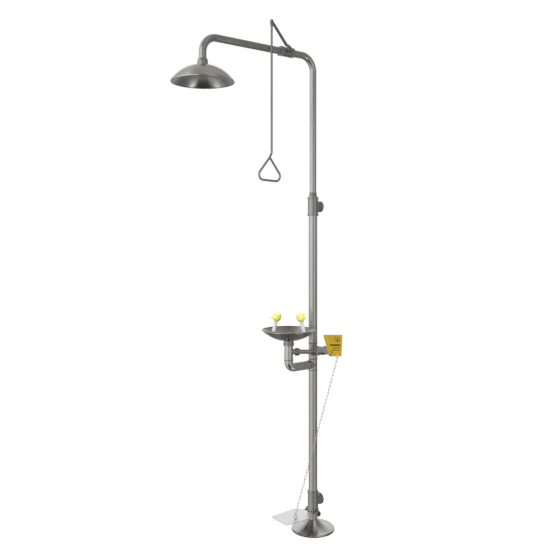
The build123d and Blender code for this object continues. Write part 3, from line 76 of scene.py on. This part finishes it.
class Graph:
    """The node tree of a material or of the world, with short calls to add nodes and join them."""

    def __init__(self, owner):
        owner.use_nodes = True
        self.tree = owner.node_tree

    def node(self, kind, **values):
        made = self.tree.nodes.new(kind)
        for key, value in values.items():
            setattr(made, key, value)
        return made

    def join(self, output, target):
        self.tree.links.new(output, target)

    def feed(self, source, target):
        """Give an input another node's output, a colour or a number."""
        if isinstance(source, bpy.types.NodeSocket):
            self.join(source, target)
        elif isinstance(source, tuple):
            target.default_value = (*source, 1)
        else:
            target.default_value = source

    def mix(self, factor, first, second, blend="MIX"):
        made = self.node("ShaderNodeMix", data_type="RGBA", blend_type=blend)
        self.feed(factor, made.inputs[0])
        self.feed(first, made.inputs[6])
        self.feed(second, made.inputs[7])
        return made.outputs[2]

    def times(self, first, second):
        return self.mix(1.0, first, second, "MULTIPLY")

    def spread(self, value, low=0.0, high=1.0, from_low=0.3, from_high=0.7, way="LINEAR"):
        """A value's stretch from from_low to from_high, spread over low to high and held outside it."""
        made = self.node("ShaderNodeMapRange", interpolation_type=way)
        made.inputs["From Min"].default_value = from_low
        made.inputs["From Max"].default_value = from_high
        made.inputs["To Min"].default_value = low
        made.inputs["To Max"].default_value = high
        self.join(value, made.inputs["Value"])
        return made.outputs["Result"]

    def height(self, vector):
        parts = self.node("ShaderNodeSeparateXYZ")
        self.join(vector, parts.inputs[0])
        return parts.outputs["Z"]

    def offset(self, vector, centre):
        made = self.node("ShaderNodeVectorMath", operation="SUBTRACT")
        self.join(vector, made.inputs[0])
        made.inputs[1].default_value = centre
        return made.outputs[0]

    def radius(self, vector):
        """Distance from the Z axis."""
        flat = self.node("ShaderNodeVectorMath", operation="MULTIPLY")
        self.join(vector, flat.inputs[0])
        flat.inputs[1].default_value = (1, 1, 0)
        length = self.node("ShaderNodeVectorMath", operation="LENGTH")
        self.join(flat.outputs[0], length.inputs[0])
        return length.outputs["Value"]

    def levels(self, vector, stops):
        """Grey level by direction about the Z axis, as (degrees, level) stops from -180 to 180.

        0 is on the photograph's side of the object and positive is anticlockwise from above."""
        turned = self.node("ShaderNodeVectorRotate", rotation_type="Z_AXIS")
        turned.inputs["Angle"].default_value = TO_FRONT
        self.join(vector, turned.inputs["Vector"])
        parts = self.node("ShaderNodeSeparateXYZ")
        self.join(turned.outputs[0], parts.inputs[0])
        angle = self.node("ShaderNodeMath", operation="ARCTAN2")
        self.join(parts.outputs["Y"], angle.inputs[0])
        self.join(parts.outputs["X"], angle.inputs[1])
        ramp = self.node("ShaderNodeValToRGB")
        self.join(self.spread(angle.outputs[0], 0, 1, -math.pi, math.pi), ramp.inputs["Fac"])
        elements = ramp.color_ramp.elements
        elements.remove(elements[-1])
        first_level = stops[0][1]
        elements[0].position = 0
        elements[0].color = (first_level, first_level, first_level, 1)
        for degrees, level in stops[1:]:
            elements.new((degrees + 180) / 360).color = (level, level, level, 1)
        return ramp.outputs["Color"]

    def end(self, seen, others, kind):
        """End the tree: the camera's rays get one shader and all other rays the other."""
        rays = self.node("ShaderNodeLightPath")
        mixed = self.node("ShaderNodeMixShader")
        self.join(rays.outputs["Is Camera Ray"], mixed.inputs[0])
        self.join(others, mixed.inputs[1])
        self.join(seen, mixed.inputs[2])
        self.join(mixed.outputs[0], self.node(kind).inputs["Surface"])

    def shader_of(self, kind, colour, **values):
        """A plain shader of one colour, with its other inputs by name."""
        made = self.node(kind)
        self.feed(colour, made.inputs["Color"])
        for key, value in values.items():
            made.inputs[key].default_value = value
        return made.outputs[0]


class Surface(Graph):
    """A material on the principled shader."""

    def __init__(self, name):
        self.material = bpy.data.materials.new(name)
        super().__init__(self.material)
        self.shader = self.tree.nodes["Principled BSDF"]

    def set(self, **values):
        """Feed the shader's inputs by name, with _ for a space."""
        for key, value in values.items():
            self.feed(value, self.shader.inputs[key.replace("_", " ")])

    def object_point(self):
        return self.node("ShaderNodeTexCoord").outputs["Object"]

    def noise(self, vector, scale, detail, rough):
        made = self.node("ShaderNodeTexNoise")
        made.inputs["Scale"].default_value = scale
        made.inputs["Detail"].default_value = detail
        made.inputs["Roughness"].default_value = rough
        self.join(vector, made.inputs["Vector"])
        return made.outputs["Fac"]

    def stretched(self, vector, direction, length, width):
        """Coordinates for a grain that runs along one direction."""
        made = self.node("ShaderNodeMapping", vector_type="TEXTURE")
        turn = Vector((1, 0, 0)).rotation_difference(direction).to_euler()
        made.inputs["Rotation"].default_value = turn
        made.inputs["Scale"].default_value = (length, width, width)
        self.join(vector, made.inputs["Vector"])
        return made.outputs["Vector"]

    def rings(self, vector, centre, width):
        """Coordinates that change only with the distance from a vertical axis, for a spun grain."""
        scaled = self.node("ShaderNodeMath", operation="DIVIDE")
        self.join(self.radius(self.offset(vector, centre)), scaled.inputs[0])
        scaled.inputs[1].default_value = width
        combined = self.node("ShaderNodeCombineXYZ")
        self.join(scaled.outputs[0], combined.inputs[0])
        return combined.outputs[0]

    def painted_reflection_wedges(self, vector, centre, stops, fade=None):
        """Painted reflection on a spun sheet: light and dark wedges of brightness by direction about its
        axis.

        Inside the first radius of the fade the colour is left even, and from the second on it takes the
        stops' wedges."""
        arm = self.offset(vector, centre)
        wedges = self.levels(arm, stops)
        if fade is None:
            return wedges
        inner, outer = fade
        return self.mix(self.spread(self.radius(arm), 0, 1, inner, outer), (1, 1, 1), wedges)

    def facing(self, upper, lower, blend=0.06):
        """One colour where the surface looks up and another where it looks down; steel uses it for painted
        reflections that differ above and below.
        """
        normal = self.node("ShaderNodeNewGeometry").outputs["Normal"]
        return self.mix(self.spread(self.height(normal), 0, 1, -blend, blend), lower, upper)

    def foot(self, colour, vector, height, level, start=0.75):
        """Darkens the colour towards the bottom, over the lowest few millimetres."""
        share = self.spread(self.height(vector), level, 1, height * start, height)
        combined = self.node("ShaderNodeCombineColor")
        for socket in combined.inputs[:3]:
            self.join(share, socket)
        return self.times(colour, combined.outputs[0])

    def clouded(self, clouds, colour, darkest, lightest):
        """A colour that drifts between two shades of itself."""
        return self.mix(self.spread(clouds), shade(colour, darkest), shade(colour, lightest))

    def add_values(self, first, second):
        made = self.node("ShaderNodeMath", operation="ADD")
        self.join(first, made.inputs[0])
        self.join(second, made.inputs[1])
        return made.outputs[0]

    def bump(self, height, strength, distance, under=None):
        made = self.node("ShaderNodeBump")
        made.inputs["Strength"].default_value = strength
        made.inputs["Distance"].default_value = distance
        self.join(height, made.inputs["Height"])
        if under:
            self.join(under, made.inputs["Normal"])
        return made.outputs["Normal"]


SCRATCH_WAY = Vector((0.5, 0.4, 0.77))


def steel(name, colour, rough, grain=UP, centre=None, grain_depth=0.03, anisotropy=0.0, above=None,
          beneath=None, fade=None, foot=0.0):
    """Stainless steel: a ground or spun grain, cloudy handling marks and fine scratches, and painted
    reflection wedges where they are given.
    """
    graph = Surface(name)
    point = graph.object_point()
    if centre is None:
        grain_at = graph.stretched(point, grain, length=0.06, width=0.0009)
    else:
        grain_at = graph.rings(point, centre, width=0.0011)
    scratch_at = graph.stretched(point, SCRATCH_WAY, length=0.02, width=0.0004)
    lines = graph.noise(grain_at, scale=1.0, detail=5.0, rough=0.7)
    clouds = graph.noise(point, scale=16.0, detail=5.0, rough=0.6)
    marks = graph.noise(point, scale=70.0, detail=3.0, rough=0.6)
    scratches = graph.noise(scratch_at, scale=1.0, detail=2.0, rough=0.5)
    cloudy = graph.spread(clouds, low=rough - 0.04, high=rough + 0.05)
    streaky = graph.spread(lines, low=-0.03, high=0.04)
    base = graph.clouded(clouds, colour, darkest=0.92, lightest=1.04)
    # Painted reflection: the colour is multiplied by light and dark wedges about the axis, one set where the
    # surface looks up and one where it looks down.
    if above:
        upper = graph.times(base, graph.painted_reflection_wedges(point, centre, above))
        lower = graph.times(base, graph.painted_reflection_wedges(point, centre, beneath or above, fade))
        base = graph.facing(upper, lower)
    # Darker towards the bottom over the lowest few millimetres, down to 0.42 of the colour.
    if foot:
        base = graph.foot(base, point, height=foot, level=0.42)
    grooves = graph.spread(scratches, from_low=0.68, from_high=0.8)
    ground = graph.bump(lines, strength=grain_depth, distance=0.0004)
    scratched = graph.bump(grooves, strength=0.03, distance=0.0003, under=ground)
    handled = graph.bump(marks, strength=0.02, distance=0.001, under=scratched)
    graph.set(Base_Color=base, Metallic=1.0, Roughness=graph.add_values(cloudy, streaky), Normal=handled)
    if anisotropy:
        tangent = graph.node("ShaderNodeTangent", direction_type="RADIAL", axis="Z")
        graph.set(Anisotropic=anisotropy, Anisotropic_Rotation=0.25, Tangent=tangent.outputs[0])
    return graph.material


def cast_steel(name, colour, rough):
    """Blasted and tumbled castings: fine pits, duller than the tube."""
    graph = Surface(name)
    point = graph.object_point()
    pits = graph.noise(point, scale=900.0, detail=3.0, rough=0.6)
    clouds = graph.noise(point, scale=45.0, detail=4.0, rough=0.6)
    graph.set(Base_Color=graph.clouded(clouds, colour, darkest=0.84, lightest=1.05), Metallic=1.0)
    graph.set(Roughness=graph.spread(clouds, low=rough - 0.05, high=rough + 0.07))
    graph.set(Normal=graph.bump(pits, strength=0.22, distance=0.0006))
    return graph.material


def plastic(name, colour, rough, coat=0.0, depth=0.05, soft=0.0):
    """Moulded plastic with a faint orange peel and uneven gloss."""
    graph = Surface(name)
    point = graph.object_point()
    peel = graph.noise(point, scale=420.0, detail=3.0, rough=0.5)
    clouds = graph.noise(point, scale=60.0, detail=4.0, rough=0.6)
    graph.set(Base_Color=graph.clouded(clouds, colour, darkest=0.93, lightest=1.03), Coat_Weight=coat)
    graph.set(Roughness=graph.spread(clouds, low=rough - 0.06, high=rough + 0.08))
    graph.set(Normal=graph.bump(peel, strength=depth, distance=0.0006))
    if soft:
        graph.shader.inputs["Subsurface Radius"].default_value = (0.004, 0.004, 0.001)
        graph.set(Subsurface_Weight=soft, Subsurface_Scale=1.0)
    return graph.material


def paint(name, colour, rough):
    """Semi-gloss paint on sheet, slightly faded and with small marks of grime."""
    graph = Surface(name)
    point = graph.object_point()
    clouds = graph.noise(point, scale=28.0, detail=5.0, rough=0.6)
    grime = graph.noise(point, scale=160.0, detail=4.0, rough=0.65)
    peel = graph.noise(point, scale=700.0, detail=2.0, rough=0.5)
    faded = graph.clouded(clouds, colour, darkest=0.9, lightest=1.06)
    share = graph.spread(grime, low=0, high=0.5, from_low=0.62, from_high=0.8)
    graph.set(Base_Color=graph.mix(share, faded, shade(colour, 0.55)), Specular_IOR_Level=0.3)
    graph.set(Roughness=graph.spread(clouds, low=rough - 0.05, high=rough + 0.1))
    graph.set(Normal=graph.bump(peel, strength=0.06, distance=0.0005))
    return graph.material


# ---- Materials
STEEL = (0.60, 0.59, 0.57)
BRIGHT = (0.70, 0.69, 0.66)
CAST = (0.46, 0.455, 0.435)


def mirrored(stops):
    """Stops given for one side, from 0 to 180 degrees, repeated on the other side."""
    return [(-degrees, level) for degrees, level in reversed(stops) if degrees > 0] + stops


# Painted reflections on the spun sheets by direction about their axis, as Graph.levels takes it: a few broad
# light and dark wedges each, standing in for the studio's reflected highlights and dark patches. The fade
# for the head's underside is in metres from its axis.
HEAD_TOP_REFLECTION = mirrored([(0, 0.9), (30, 1.0), (75, 0.7), (180, 0.8)])
HEAD_UNDER_REFLECTION = mirrored([(0, 0.8), (135, 0.7), (152, 1.3), (165, 0.5), (180, 0.5)])
HEAD_UNDER_REFLECTION_FADE = (0.105, 0.12)
BOWL_INSIDE_REFLECTION = mirrored([(0, 0.8), (60, 1.0), (120, 0.7), (150, 1.05), (180, 0.6)])
BOWL_UNDER_REFLECTION = mirrored([(0, 0.6), (15, 0.7), (30, 1.2), (45, 0.7), (180, 0.7)])
COVER_TOP_REFLECTION = [(-180, 0.7), (-60, 0.8), (-45, 0.35), (-15, 0.35), (10, 1.2), (45, 0.7), (180, 0.7)]


def axis_of(node):
    low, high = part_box(node)
    return Vector(((low.x + high.x) / 2, (low.y + high.y) / 2, 0))


tube_z = steel("tube_upright", STEEL, 0.27, grain=UP)
# Painted shade: the arm is a darker copy of the upright tube's steel, at 0.92 of its colour.
tube_y = steel("tube_arm", shade(STEEL, 0.92), 0.27, grain=ALONG_Y)
# Painted light: the supply loop is a lighter copy of the same tube steel, at 1.35 of its colour.
tube_loop = steel("tube_loop", shade(STEEL, 1.35), 0.25, grain=LOOP)
# Painted shade: the pull rod is a darker copy of the same tube steel, at 0.62 of its colour.
rod_steel = steel("rod_steel", shade(STEEL, 0.62), 0.26, grain=UP)
handle_steel = steel("handle_steel", shade(STEEL, 0.85), 0.26, grain=UP)
lever_steel = steel("lever_steel", shade(STEEL, 0.6), 0.34, grain=Vector((0, -0.7, 0.7)))
# Painted highlight: the bracket's steel is lifted to a light cool grey that stands in for its highlights.
plate_steel = steel("plate_steel", (0.70, 0.725, 0.75), 0.3, grain=LOOP)
pedal_steel = steel("pedal_steel", (0.93, 0.93, 0.94), 0.36, grain=ALONG_Y)
drain_steel = steel("drain_steel", shade(BRIGHT, 1.06), 0.24, grain=ALONG_Y)
head_steel = steel("head_steel", BRIGHT, 0.24, centre=axis_of("head_shell"), grain_depth=0.015,
                   anisotropy=0.85, above=HEAD_TOP_REFLECTION, beneath=HEAD_UNDER_REFLECTION, fade=HEAD_UNDER_REFLECTION_FADE)
# Painted shade: the bowl is a darker copy of the bright steel, at 0.80 of its colour, standing in for the
# shade inside it.
bowl_steel = steel("bowl_steel", shade(BRIGHT, 0.80), 0.24, centre=axis_of("eyewash_bowl"),
                   grain_depth=0.015, anisotropy=0.85, above=BOWL_INSIDE_REFLECTION, beneath=BOWL_UNDER_REFLECTION)
cover_steel = steel("cover_steel", shade(BRIGHT, 1.1), 0.22, centre=axis_of("base_cover"), grain_depth=0.012,
                    anisotropy=0.85, above=COVER_TOP_REFLECTION, foot=0.0075)
fitting_steel = cast_steel("fitting_steel", CAST, 0.33)
turned_steel = cast_steel("turned_steel", shade(STEEL, 0.85), 0.26)
# Painted light: the elbows and the union nut are a lighter copy of the same steel, at 1.15 of its colour.
union_steel = cast_steel("union_steel", shade(STEEL, 1.15), 0.26)
bolt_steel = cast_steel("bolt_steel", (0.19, 0.185, 0.18), 0.38)
chain_steel = cast_steel("chain_steel", (0.80, 0.80, 0.79), 0.3)
weld_steel = cast_steel("weld_steel", (0.40, 0.38, 0.34), 0.36)
cap_plastic = plastic("cap_plastic", (0.83, 0.86, 0.22), 0.36, coat=0.15, soft=0.15)
nozzle_plastic = plastic("nozzle_plastic", (0.74, 0.76, 0.77), 0.42)
seat_plastic = plastic("seat_plastic", (0.9, 0.9, 0.88), 0.5)
plate_paint = paint("plate_paint", (0.42, 0.285, 0.012), 0.4)
print_black = plastic("print_black", (0.035, 0.026, 0.012), 0.5)
seal_rubber = plastic("seal_rubber", (0.03, 0.03, 0.03), 0.6, depth=0.1)

finish = {
    tube_z: ["base_nipple", "lower_column", "waste_tee", "column_plug", "supply_tee", "middle_column",
             "riser_pipe"],
    tube_y: ["arm_pipe"],
    drain_steel: ["drain_arm", "drain_pipe"],
    tube_loop: ["supply_pipe", "supply_nipples", "supply_riser"],
    rod_steel: ["pull_rod"],
    handle_steel: ["pull_handle"],
    lever_steel: ["shower_lever"],
    plate_steel: ["lever_bracket"],
    pedal_steel: ["foot_pedal"],
    head_steel: ["head_shell", "spray_deflector"],
    bowl_steel: ["eyewash_bowl", "bowl_strainer"],
    cover_steel: ["base_cover"],
    fitting_steel: ["floor_flange", "drain_tee", "inlet_tee", "reducer", "shower_valve_body",
                    "shower_valve_end", "head_socket", "eyewash_valve_body",
                    "eyewash_valve_end", "pedal_collar", "nozzle_manifold"],
    union_steel: ["supply_elbows", "union_nut"],
    turned_steel: ["shower_valve_ball", "shower_valve_stem", "gland_nuts", "shower_lever_nut", "rod_clevis",
                   "head_locknut", "drain_nut", "bowl_outlet", "eyewash_valve_ball",
                   "eyewash_valve_stem", "eyewash_lever_nut", "plate_rivets", "cap_pins", "pedal_eye"],
    bolt_steel: ["pivot_bolts"],
    chain_steel: ["pedal_chain", "chain_rings"],
    cap_plastic: ["cap_collars", "dust_cap_left", "dust_cap_right"],
    nozzle_plastic: ["nozzle_stems", "spray_inserts"],
    seat_plastic: ["valve_seats"],
    plate_paint: ["push_plate"],
}
for material, names in finish.items():
    for name in names:
        nodes[name].data.materials.clear()
        nodes[name].data.materials.append(material)

# ---- Pieces that the CAD leaves out
BEAD_STRETCH = 1.6
WELD_WIRE, WELD_SCALES, WELD_SWELL = 0.0013, 46, 0.16
HEAD_RIM_WIRE, BOWL_RIM_WIRE, GASKET_WIRE = 0.0012, 0.0015, 0.0011
HEAD_RIM_INSET = 1.05 * HEAD_RIM_WIRE
BOWL_RIM_INSET, BOWL_RIM_DROP = 0.0004, 0.001
GASKET_RADIUS = 0.0242
THREAD_RADIUS, THREAD_DEPTH, THREAD_PITCH = 0.0195, 0.0011, 0.0023
THREAD_LENGTH, THREAD_START = 0.0175, 0.0195
THREAD_LEAST = 0.00002
THREAD_FOOT = 0.42 * THREAD_PITCH
INK = 0.00015
MILLIMETRE = 0.001


def add_piece(name, mesh, material, body="station", smooth=True):
    for face in mesh.polygons:
        face.use_smooth = smooth
    mesh.materials.append(material)
    piece = bpy.data.objects.new(name, mesh)
    bpy.context.scene.collection.objects.link(piece)
    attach(piece, body)


def bottom_of(node):
    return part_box(node)[0].z


def top_of(node):
    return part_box(node)[1].z


def radius_of(node):
    low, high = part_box(node)
    return (high.x - low.x) / 2


def square_to(direction):
    """Two directions square to a given one."""
    first = direction.orthogonal().normalized()
    return first, direction.cross(first).normalized()


def shape_to_mesh(name, shape):
    bmesh.ops.recalc_face_normals(shape, faces=shape.faces)
    mesh = bpy.data.meshes.new(name)
    shape.to_mesh(mesh)
    shape.free()
    return mesh


def skin(name, rings, closed):
    """A mesh over rings of points, closed into a loop or with both its ends capped."""
    shape = bmesh.new()
    made = [[shape.verts.new(point) for point in ring] for ring in rings]
    count = len(made)
    for index in range(count if closed else count - 1):
        here, there = made[index], made[(index + 1) % count]
        for side in range(len(here)):
            after = (side + 1) % len(here)
            shape.faces.new((here[side], here[after], there[after], there[side]))
    if not closed:
        shape.faces.new(made[0])
        shape.faces.new(made[-1])
    return shape_to_mesh(name, shape)


def add_ring(name, centre, radius, wire, material, direction=UP, ripples=0, ripple=0.0):
    """A round bead about an axis; ripples give it the scales of a weld."""
    first, second = square_to(direction)
    steps, sides = 144, 10
    rings = []
    for step in range(steps):
        angle = 2 * math.pi * step / steps
        out = first * math.cos(angle) + second * math.sin(angle)
        swell = wire * (1 + ripple * math.cos(ripples * angle))
        ring = []
        for side in range(sides):
            turn = 2 * math.pi * side / sides
            along = direction * swell * BEAD_STRETCH * math.sin(turn)
            ring.append(centre + out * (radius + swell * math.cos(turn)) + along)
        rings.append(ring)
    add_piece(name, skin(name, rings, closed=True), material)


def add_inner_thread(name, start, direction):
    """A screw thread's ridge wound inside a bore, running out to nothing at both ends."""
    first, second = square_to(direction)
    turn_steps, run_out_steps = 48, 30
    steps = int(THREAD_LENGTH / THREAD_PITCH * turn_steps)
    rings = []
    for step in range(steps + 1):
        angle = 2 * math.pi * step / turn_steps
        out = first * math.cos(angle) + second * math.sin(angle)
        share = min(1.0, step / run_out_steps, (steps - step) / run_out_steps)
        crest = out * (THREAD_DEPTH * share + THREAD_LEAST)
        base = start + out * THREAD_RADIUS + direction * THREAD_LENGTH * step / steps
        rings.append([base - direction * THREAD_FOOT, base - crest, base + direction * THREAD_FOOT])
    add_piece(name, skin(name, rings, closed=False), fitting_steel)


def add_welds():
    low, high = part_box("waste_tee")
    tube_radius = high.x
    pipe_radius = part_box("riser_pipe")[1].x
    branch = Vector((0, low.y, (low.z + high.z) / 2))
    drain = axis_of("eyewash_bowl") + UP * top_of("drain_arm")
    spots = [
        ("weld_waste_low", UP * low.z, UP, tube_radius),
        ("weld_waste_high", UP * high.z, UP, tube_radius),
        ("weld_waste_branch", branch, ALONG_Y, tube_radius),
        ("weld_supply_low", UP * top_of("column_plug"), UP, tube_radius),
        ("weld_supply_high", UP * bottom_of("middle_column"), UP, tube_radius),
        ("weld_drain_arm", drain, UP, tube_radius),
        ("weld_reducer", UP * top_of("reducer"), UP, pipe_radius),
    ]
    for name, centre, direction, radius in spots:
        add_ring(name, centre, radius, WELD_WIRE, weld_steel, direction, WELD_SCALES, WELD_SWELL)


def add_rims():
    """The rolled beads on the rims of the head and the bowl, and the gasket under the bowl."""
    head = axis_of("head_shell") + UP * (bottom_of("head_shell") + 2 * HEAD_RIM_WIRE)
    bowl = axis_of("eyewash_bowl") + UP * (top_of("eyewash_bowl") - BOWL_RIM_DROP)
    gasket = axis_of("eyewash_bowl") + UP * top_of("drain_nut")
    add_ring("head_rim", head, radius_of("head_shell") - HEAD_RIM_INSET, HEAD_RIM_WIRE, head_steel)
    add_ring("bowl_rim", bowl, radius_of("eyewash_bowl") - BOWL_RIM_INSET, BOWL_RIM_WIRE, bowl_steel)
    add_ring("bowl_gasket", gasket, GASKET_RADIUS, GASKET_WIRE, seal_rubber)


def add_threads():
    for name, node in (("drain_thread", "drain_tee"), ("inlet_thread", "inlet_tee")):
        low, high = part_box(node)
        start = Vector((0, high.y - THREAD_START, (low.z + high.z) / 2))
        add_inner_thread(name, start, ALONG_Y)


def plate_corner():
    """Top right corner of the push plate's outer face, where the print's own coordinates start."""
    points = [vertex.co for vertex in nodes["push_plate"].data.vertices]
    out = max(point.dot(SIDE) for point in points)
    right = max(point.dot(LOOP) for point in points)
    top = max(point.z for point in points)
    return SIDE * out + LOOP * right + UP * top


def add_print(name, outlines):
    """Raised print on the plate. Its outlines are in millimetres, negative to the left and downwards."""
    corner = plate_corner()
    shape = bmesh.new()
    for outline in outlines:
        base = [corner + LOOP * x * MILLIMETRE + UP * y * MILLIMETRE for x, y in outline]
        back = [shape.verts.new(point) for point in base]
        front = [shape.verts.new(point + SIDE * INK) for point in base]
        shape.faces.new(front)
        shape.faces.new(back[::-1])
        for index in range(len(base)):
            shape.faces.new((back[index - 1], back[index], front[index], front[index - 1]))
    add_piece(name, shape_to_mesh(name, shape), print_black, "eyewash_lever", smooth=False)


def bar(x, y, width, height):
    return [(x, y), (x + width, y), (x + width, y - height), (x, y - height)]


def arc(x, y, radius, turns):
    return [(x + radius * math.cos(math.radians(turn)), y + radius * math.sin(math.radians(turn)))
            for turn in turns]


def drop(x, y, radius):
    """A falling drop with its point up."""
    point_height = 2.4 * radius
    return arc(x, y, radius, range(150, 391, 12)) + [(x, y + point_height)]


def lids(x, y, width, height, thickness):
    """Both lids of an eye, each an arched band."""
    bands, count = [], 20
    for way in (1, -1):
        inner = [(x - width / 2 + width * step / count, y + way * height * math.sin(math.pi * step / count))
                 for step in range(count + 1)]
        outer = [(along, rise + way * thickness) for along, rise in inner]
        bands.append(inner + outer[::-1])
    return bands


def add_pictogram():
    """Three drops over an eye, then a bar and three thin lines."""
    eye_x, eye_y = -24, -26
    outlines = lids(eye_x, eye_y, width=30, height=7, thickness=2.2)
    outlines.append(arc(eye_x, eye_y, radius=4.4, turns=range(0, 360, 12)))
    outlines += [drop(eye_x + aside, eye_y + 13, radius=1.9) for aside in (-8, 0, 8)]
    outlines.append(bar(-58, -45, width=48, height=7.5))
    outlines += [bar(-48, -60 - 6 * line, width=38 - 5 * (line % 2), height=2.2) for line in range(3)]
    add_print("plate_print", outlines)


add_welds()
add_rims()
add_threads()
add_pictogram()


# ---- Stage: floor, world and lights
WHITE = (1, 1, 1)
FLOOR_REACH = 400.0
FLOOR_SHADOWED, FLOOR_GLOW = (0.10, 0.10, 0.10), 0.955
FLOOR_BOUNCE = (0.8, 0.8, 0.8)


def add_floor():
    """A pale floor without an edge, lit to the background's white, that only keeps the contact shadow."""
    mesh = bpy.data.meshes.new("floor")
    signs = ((-1, -1), (1, -1), (1, 1), (-1, 1))
    corners = [(x * FLOOR_REACH, y * FLOOR_REACH, 0) for x, y in signs]
    mesh.from_pydata(corners, [], [(0, 1, 2, 3)])
    floor = bpy.data.objects.new("floor", mesh)
    bpy.context.scene.collection.objects.link(floor)
    floor.visible_glossy = False
    material = bpy.data.materials.new("floor")
    graph = Graph(material)
    graph.tree.nodes.clear()
    both = graph.node("ShaderNodeAddShader")
    graph.join(graph.shader_of("ShaderNodeBsdfDiffuse", FLOOR_SHADOWED), both.inputs[0])
    graph.join(graph.shader_of("ShaderNodeEmission", WHITE, Strength=FLOOR_GLOW), both.inputs[1])
    bounce = graph.shader_of("ShaderNodeBsdfDiffuse", FLOOR_BOUNCE)
    graph.end(both.outputs[0], bounce, "ShaderNodeOutputMaterial")
    mesh.materials.append(material)


# Studio brightness round the object, in rings of one elevation, as Graph.levels takes it. The first and the
# last stop meet behind the object.
HIGH_RING = [(-180, 0.50), (-125, 0.48), (-85, 0.95), (-66, 0.90), (-52, 0.10), (-4, 0.10), (8, 0.45),
             (48, 0.45), (58, 0.22), (110, 0.22), (130, 0.40), (150, 0.45), (180, 0.50)]
UPPER_RING = [(-180, 0.95), (-152, 0.80), (-140, 0.58), (-108, 0.58), (-88, 1.05), (-30, 1.05), (-12, 0.70),
              (-2, 0.18), (20, 0.22), (32, 0.42), (50, 0.40), (64, 0.24), (108, 0.25), (122, 0.42),
              (140, 0.42), (152, 0.80), (180, 0.95)]
LEVEL_RING = [(-180, 0.95), (-152, 0.80), (-140, 0.58), (-108, 0.58), (-88, 1.10), (-30, 1.10), (-12, 0.90),
              (-2, 0.30), (12, 0.30), (24, 0.95), (52, 0.95), (66, 0.26), (108, 0.28), (122, 0.46),
              (140, 0.46), (152, 0.80), (180, 0.95)]
LOW_RING = [(-180, 0.15), (-95, 0.25), (-78, 0.45), (-66, 1.15), (-54, 1.15), (-46, 0.06), (46, 0.06),
            (54, 1.15), (64, 1.15), (74, 0.22), (130, 0.20), (180, 0.15)]
# What the level ring keeps below the horizon, where the floor is, and the studio's ground and ceiling.
FLOOR_SHARE = (0.64, 0.64, 0.62)
GROUND = (0.20, 0.20, 0.18)
CEILING = (0.40, 0.385, 0.33)

# The sines of the elevations between which one part of the studio gives way to the next.
GROUND_EDGE = (-0.985, -0.93)
LOW_EDGE = (-0.62, -0.36)
FLOOR_EDGE = (-0.14, 0.02)
UPPER_EDGE = (0.04, 0.16)
HIGH_EDGE = (0.42, 0.72)
CEILING_EDGE = (0.86, 0.97)


def add_world():
    """White for the camera; for everything else a studio of softboxes given by the rings above."""
    world = bpy.data.worlds.new("studio")
    bpy.context.scene.world = world
    graph = Graph(world)
    graph.tree.nodes.clear()
    direction = graph.node("ShaderNodeTexCoord").outputs["Generated"]
    height = graph.height(direction)
    low, level, upper, high = [graph.levels(direction, stops)
                               for stops in (LOW_RING, LEVEL_RING, UPPER_RING, HIGH_RING)]

    def step(edge):
        return graph.spread(height, 0, 1, *edge, way="SMOOTHSTEP")

    studio = graph.mix(step(FLOOR_EDGE), graph.times(level, FLOOR_SHARE), level)
    studio = graph.mix(step(UPPER_EDGE), studio, upper)
    studio = graph.mix(step(LOW_EDGE), low, studio)
    studio = graph.mix(step(HIGH_EDGE), studio, high)
    studio = graph.mix(step(GROUND_EDGE), GROUND, studio)
    studio = graph.mix(step(CEILING_EDGE), studio, CEILING)
    seen = graph.shader_of("ShaderNodeBackground", WHITE)
    graph.end(seen, graph.shader_of("ShaderNodeBackground", studio), "ShaderNodeOutputWorld")


def add_light(name, place, target, size, power):
    """A softbox for matt surfaces and shadows; the world's rings give the metal its reflections."""
    data = bpy.data.lights.new(name, "AREA")
    data.shape = "SQUARE"
    data.size = size
    data.energy = power
    light = bpy.data.objects.new(name, data)
    bpy.context.scene.collection.objects.link(light)
    light.location = place
    light.rotation_euler = (target - place).to_track_quat("-Z", "Y").to_euler()
    light.visible_glossy = False
    light.visible_camera = False


def add_lights():
    overhead = UP * 4.2 - CAMERA_FORWARD * 0.5
    in_front = UP * 2.0 - CAMERA_FORWARD * 3.6 - CAMERA_RIGHT * 0.9
    add_light("ceiling", overhead, target=Vector((0, 0, 0)), size=4.0, power=180)
    add_light("front_fill", in_front, target=UP * 1.2, size=2.4, power=60)


add_floor()
add_world()
add_lights()
bpy.context.scene.view_settings.view_transform = "Standard"
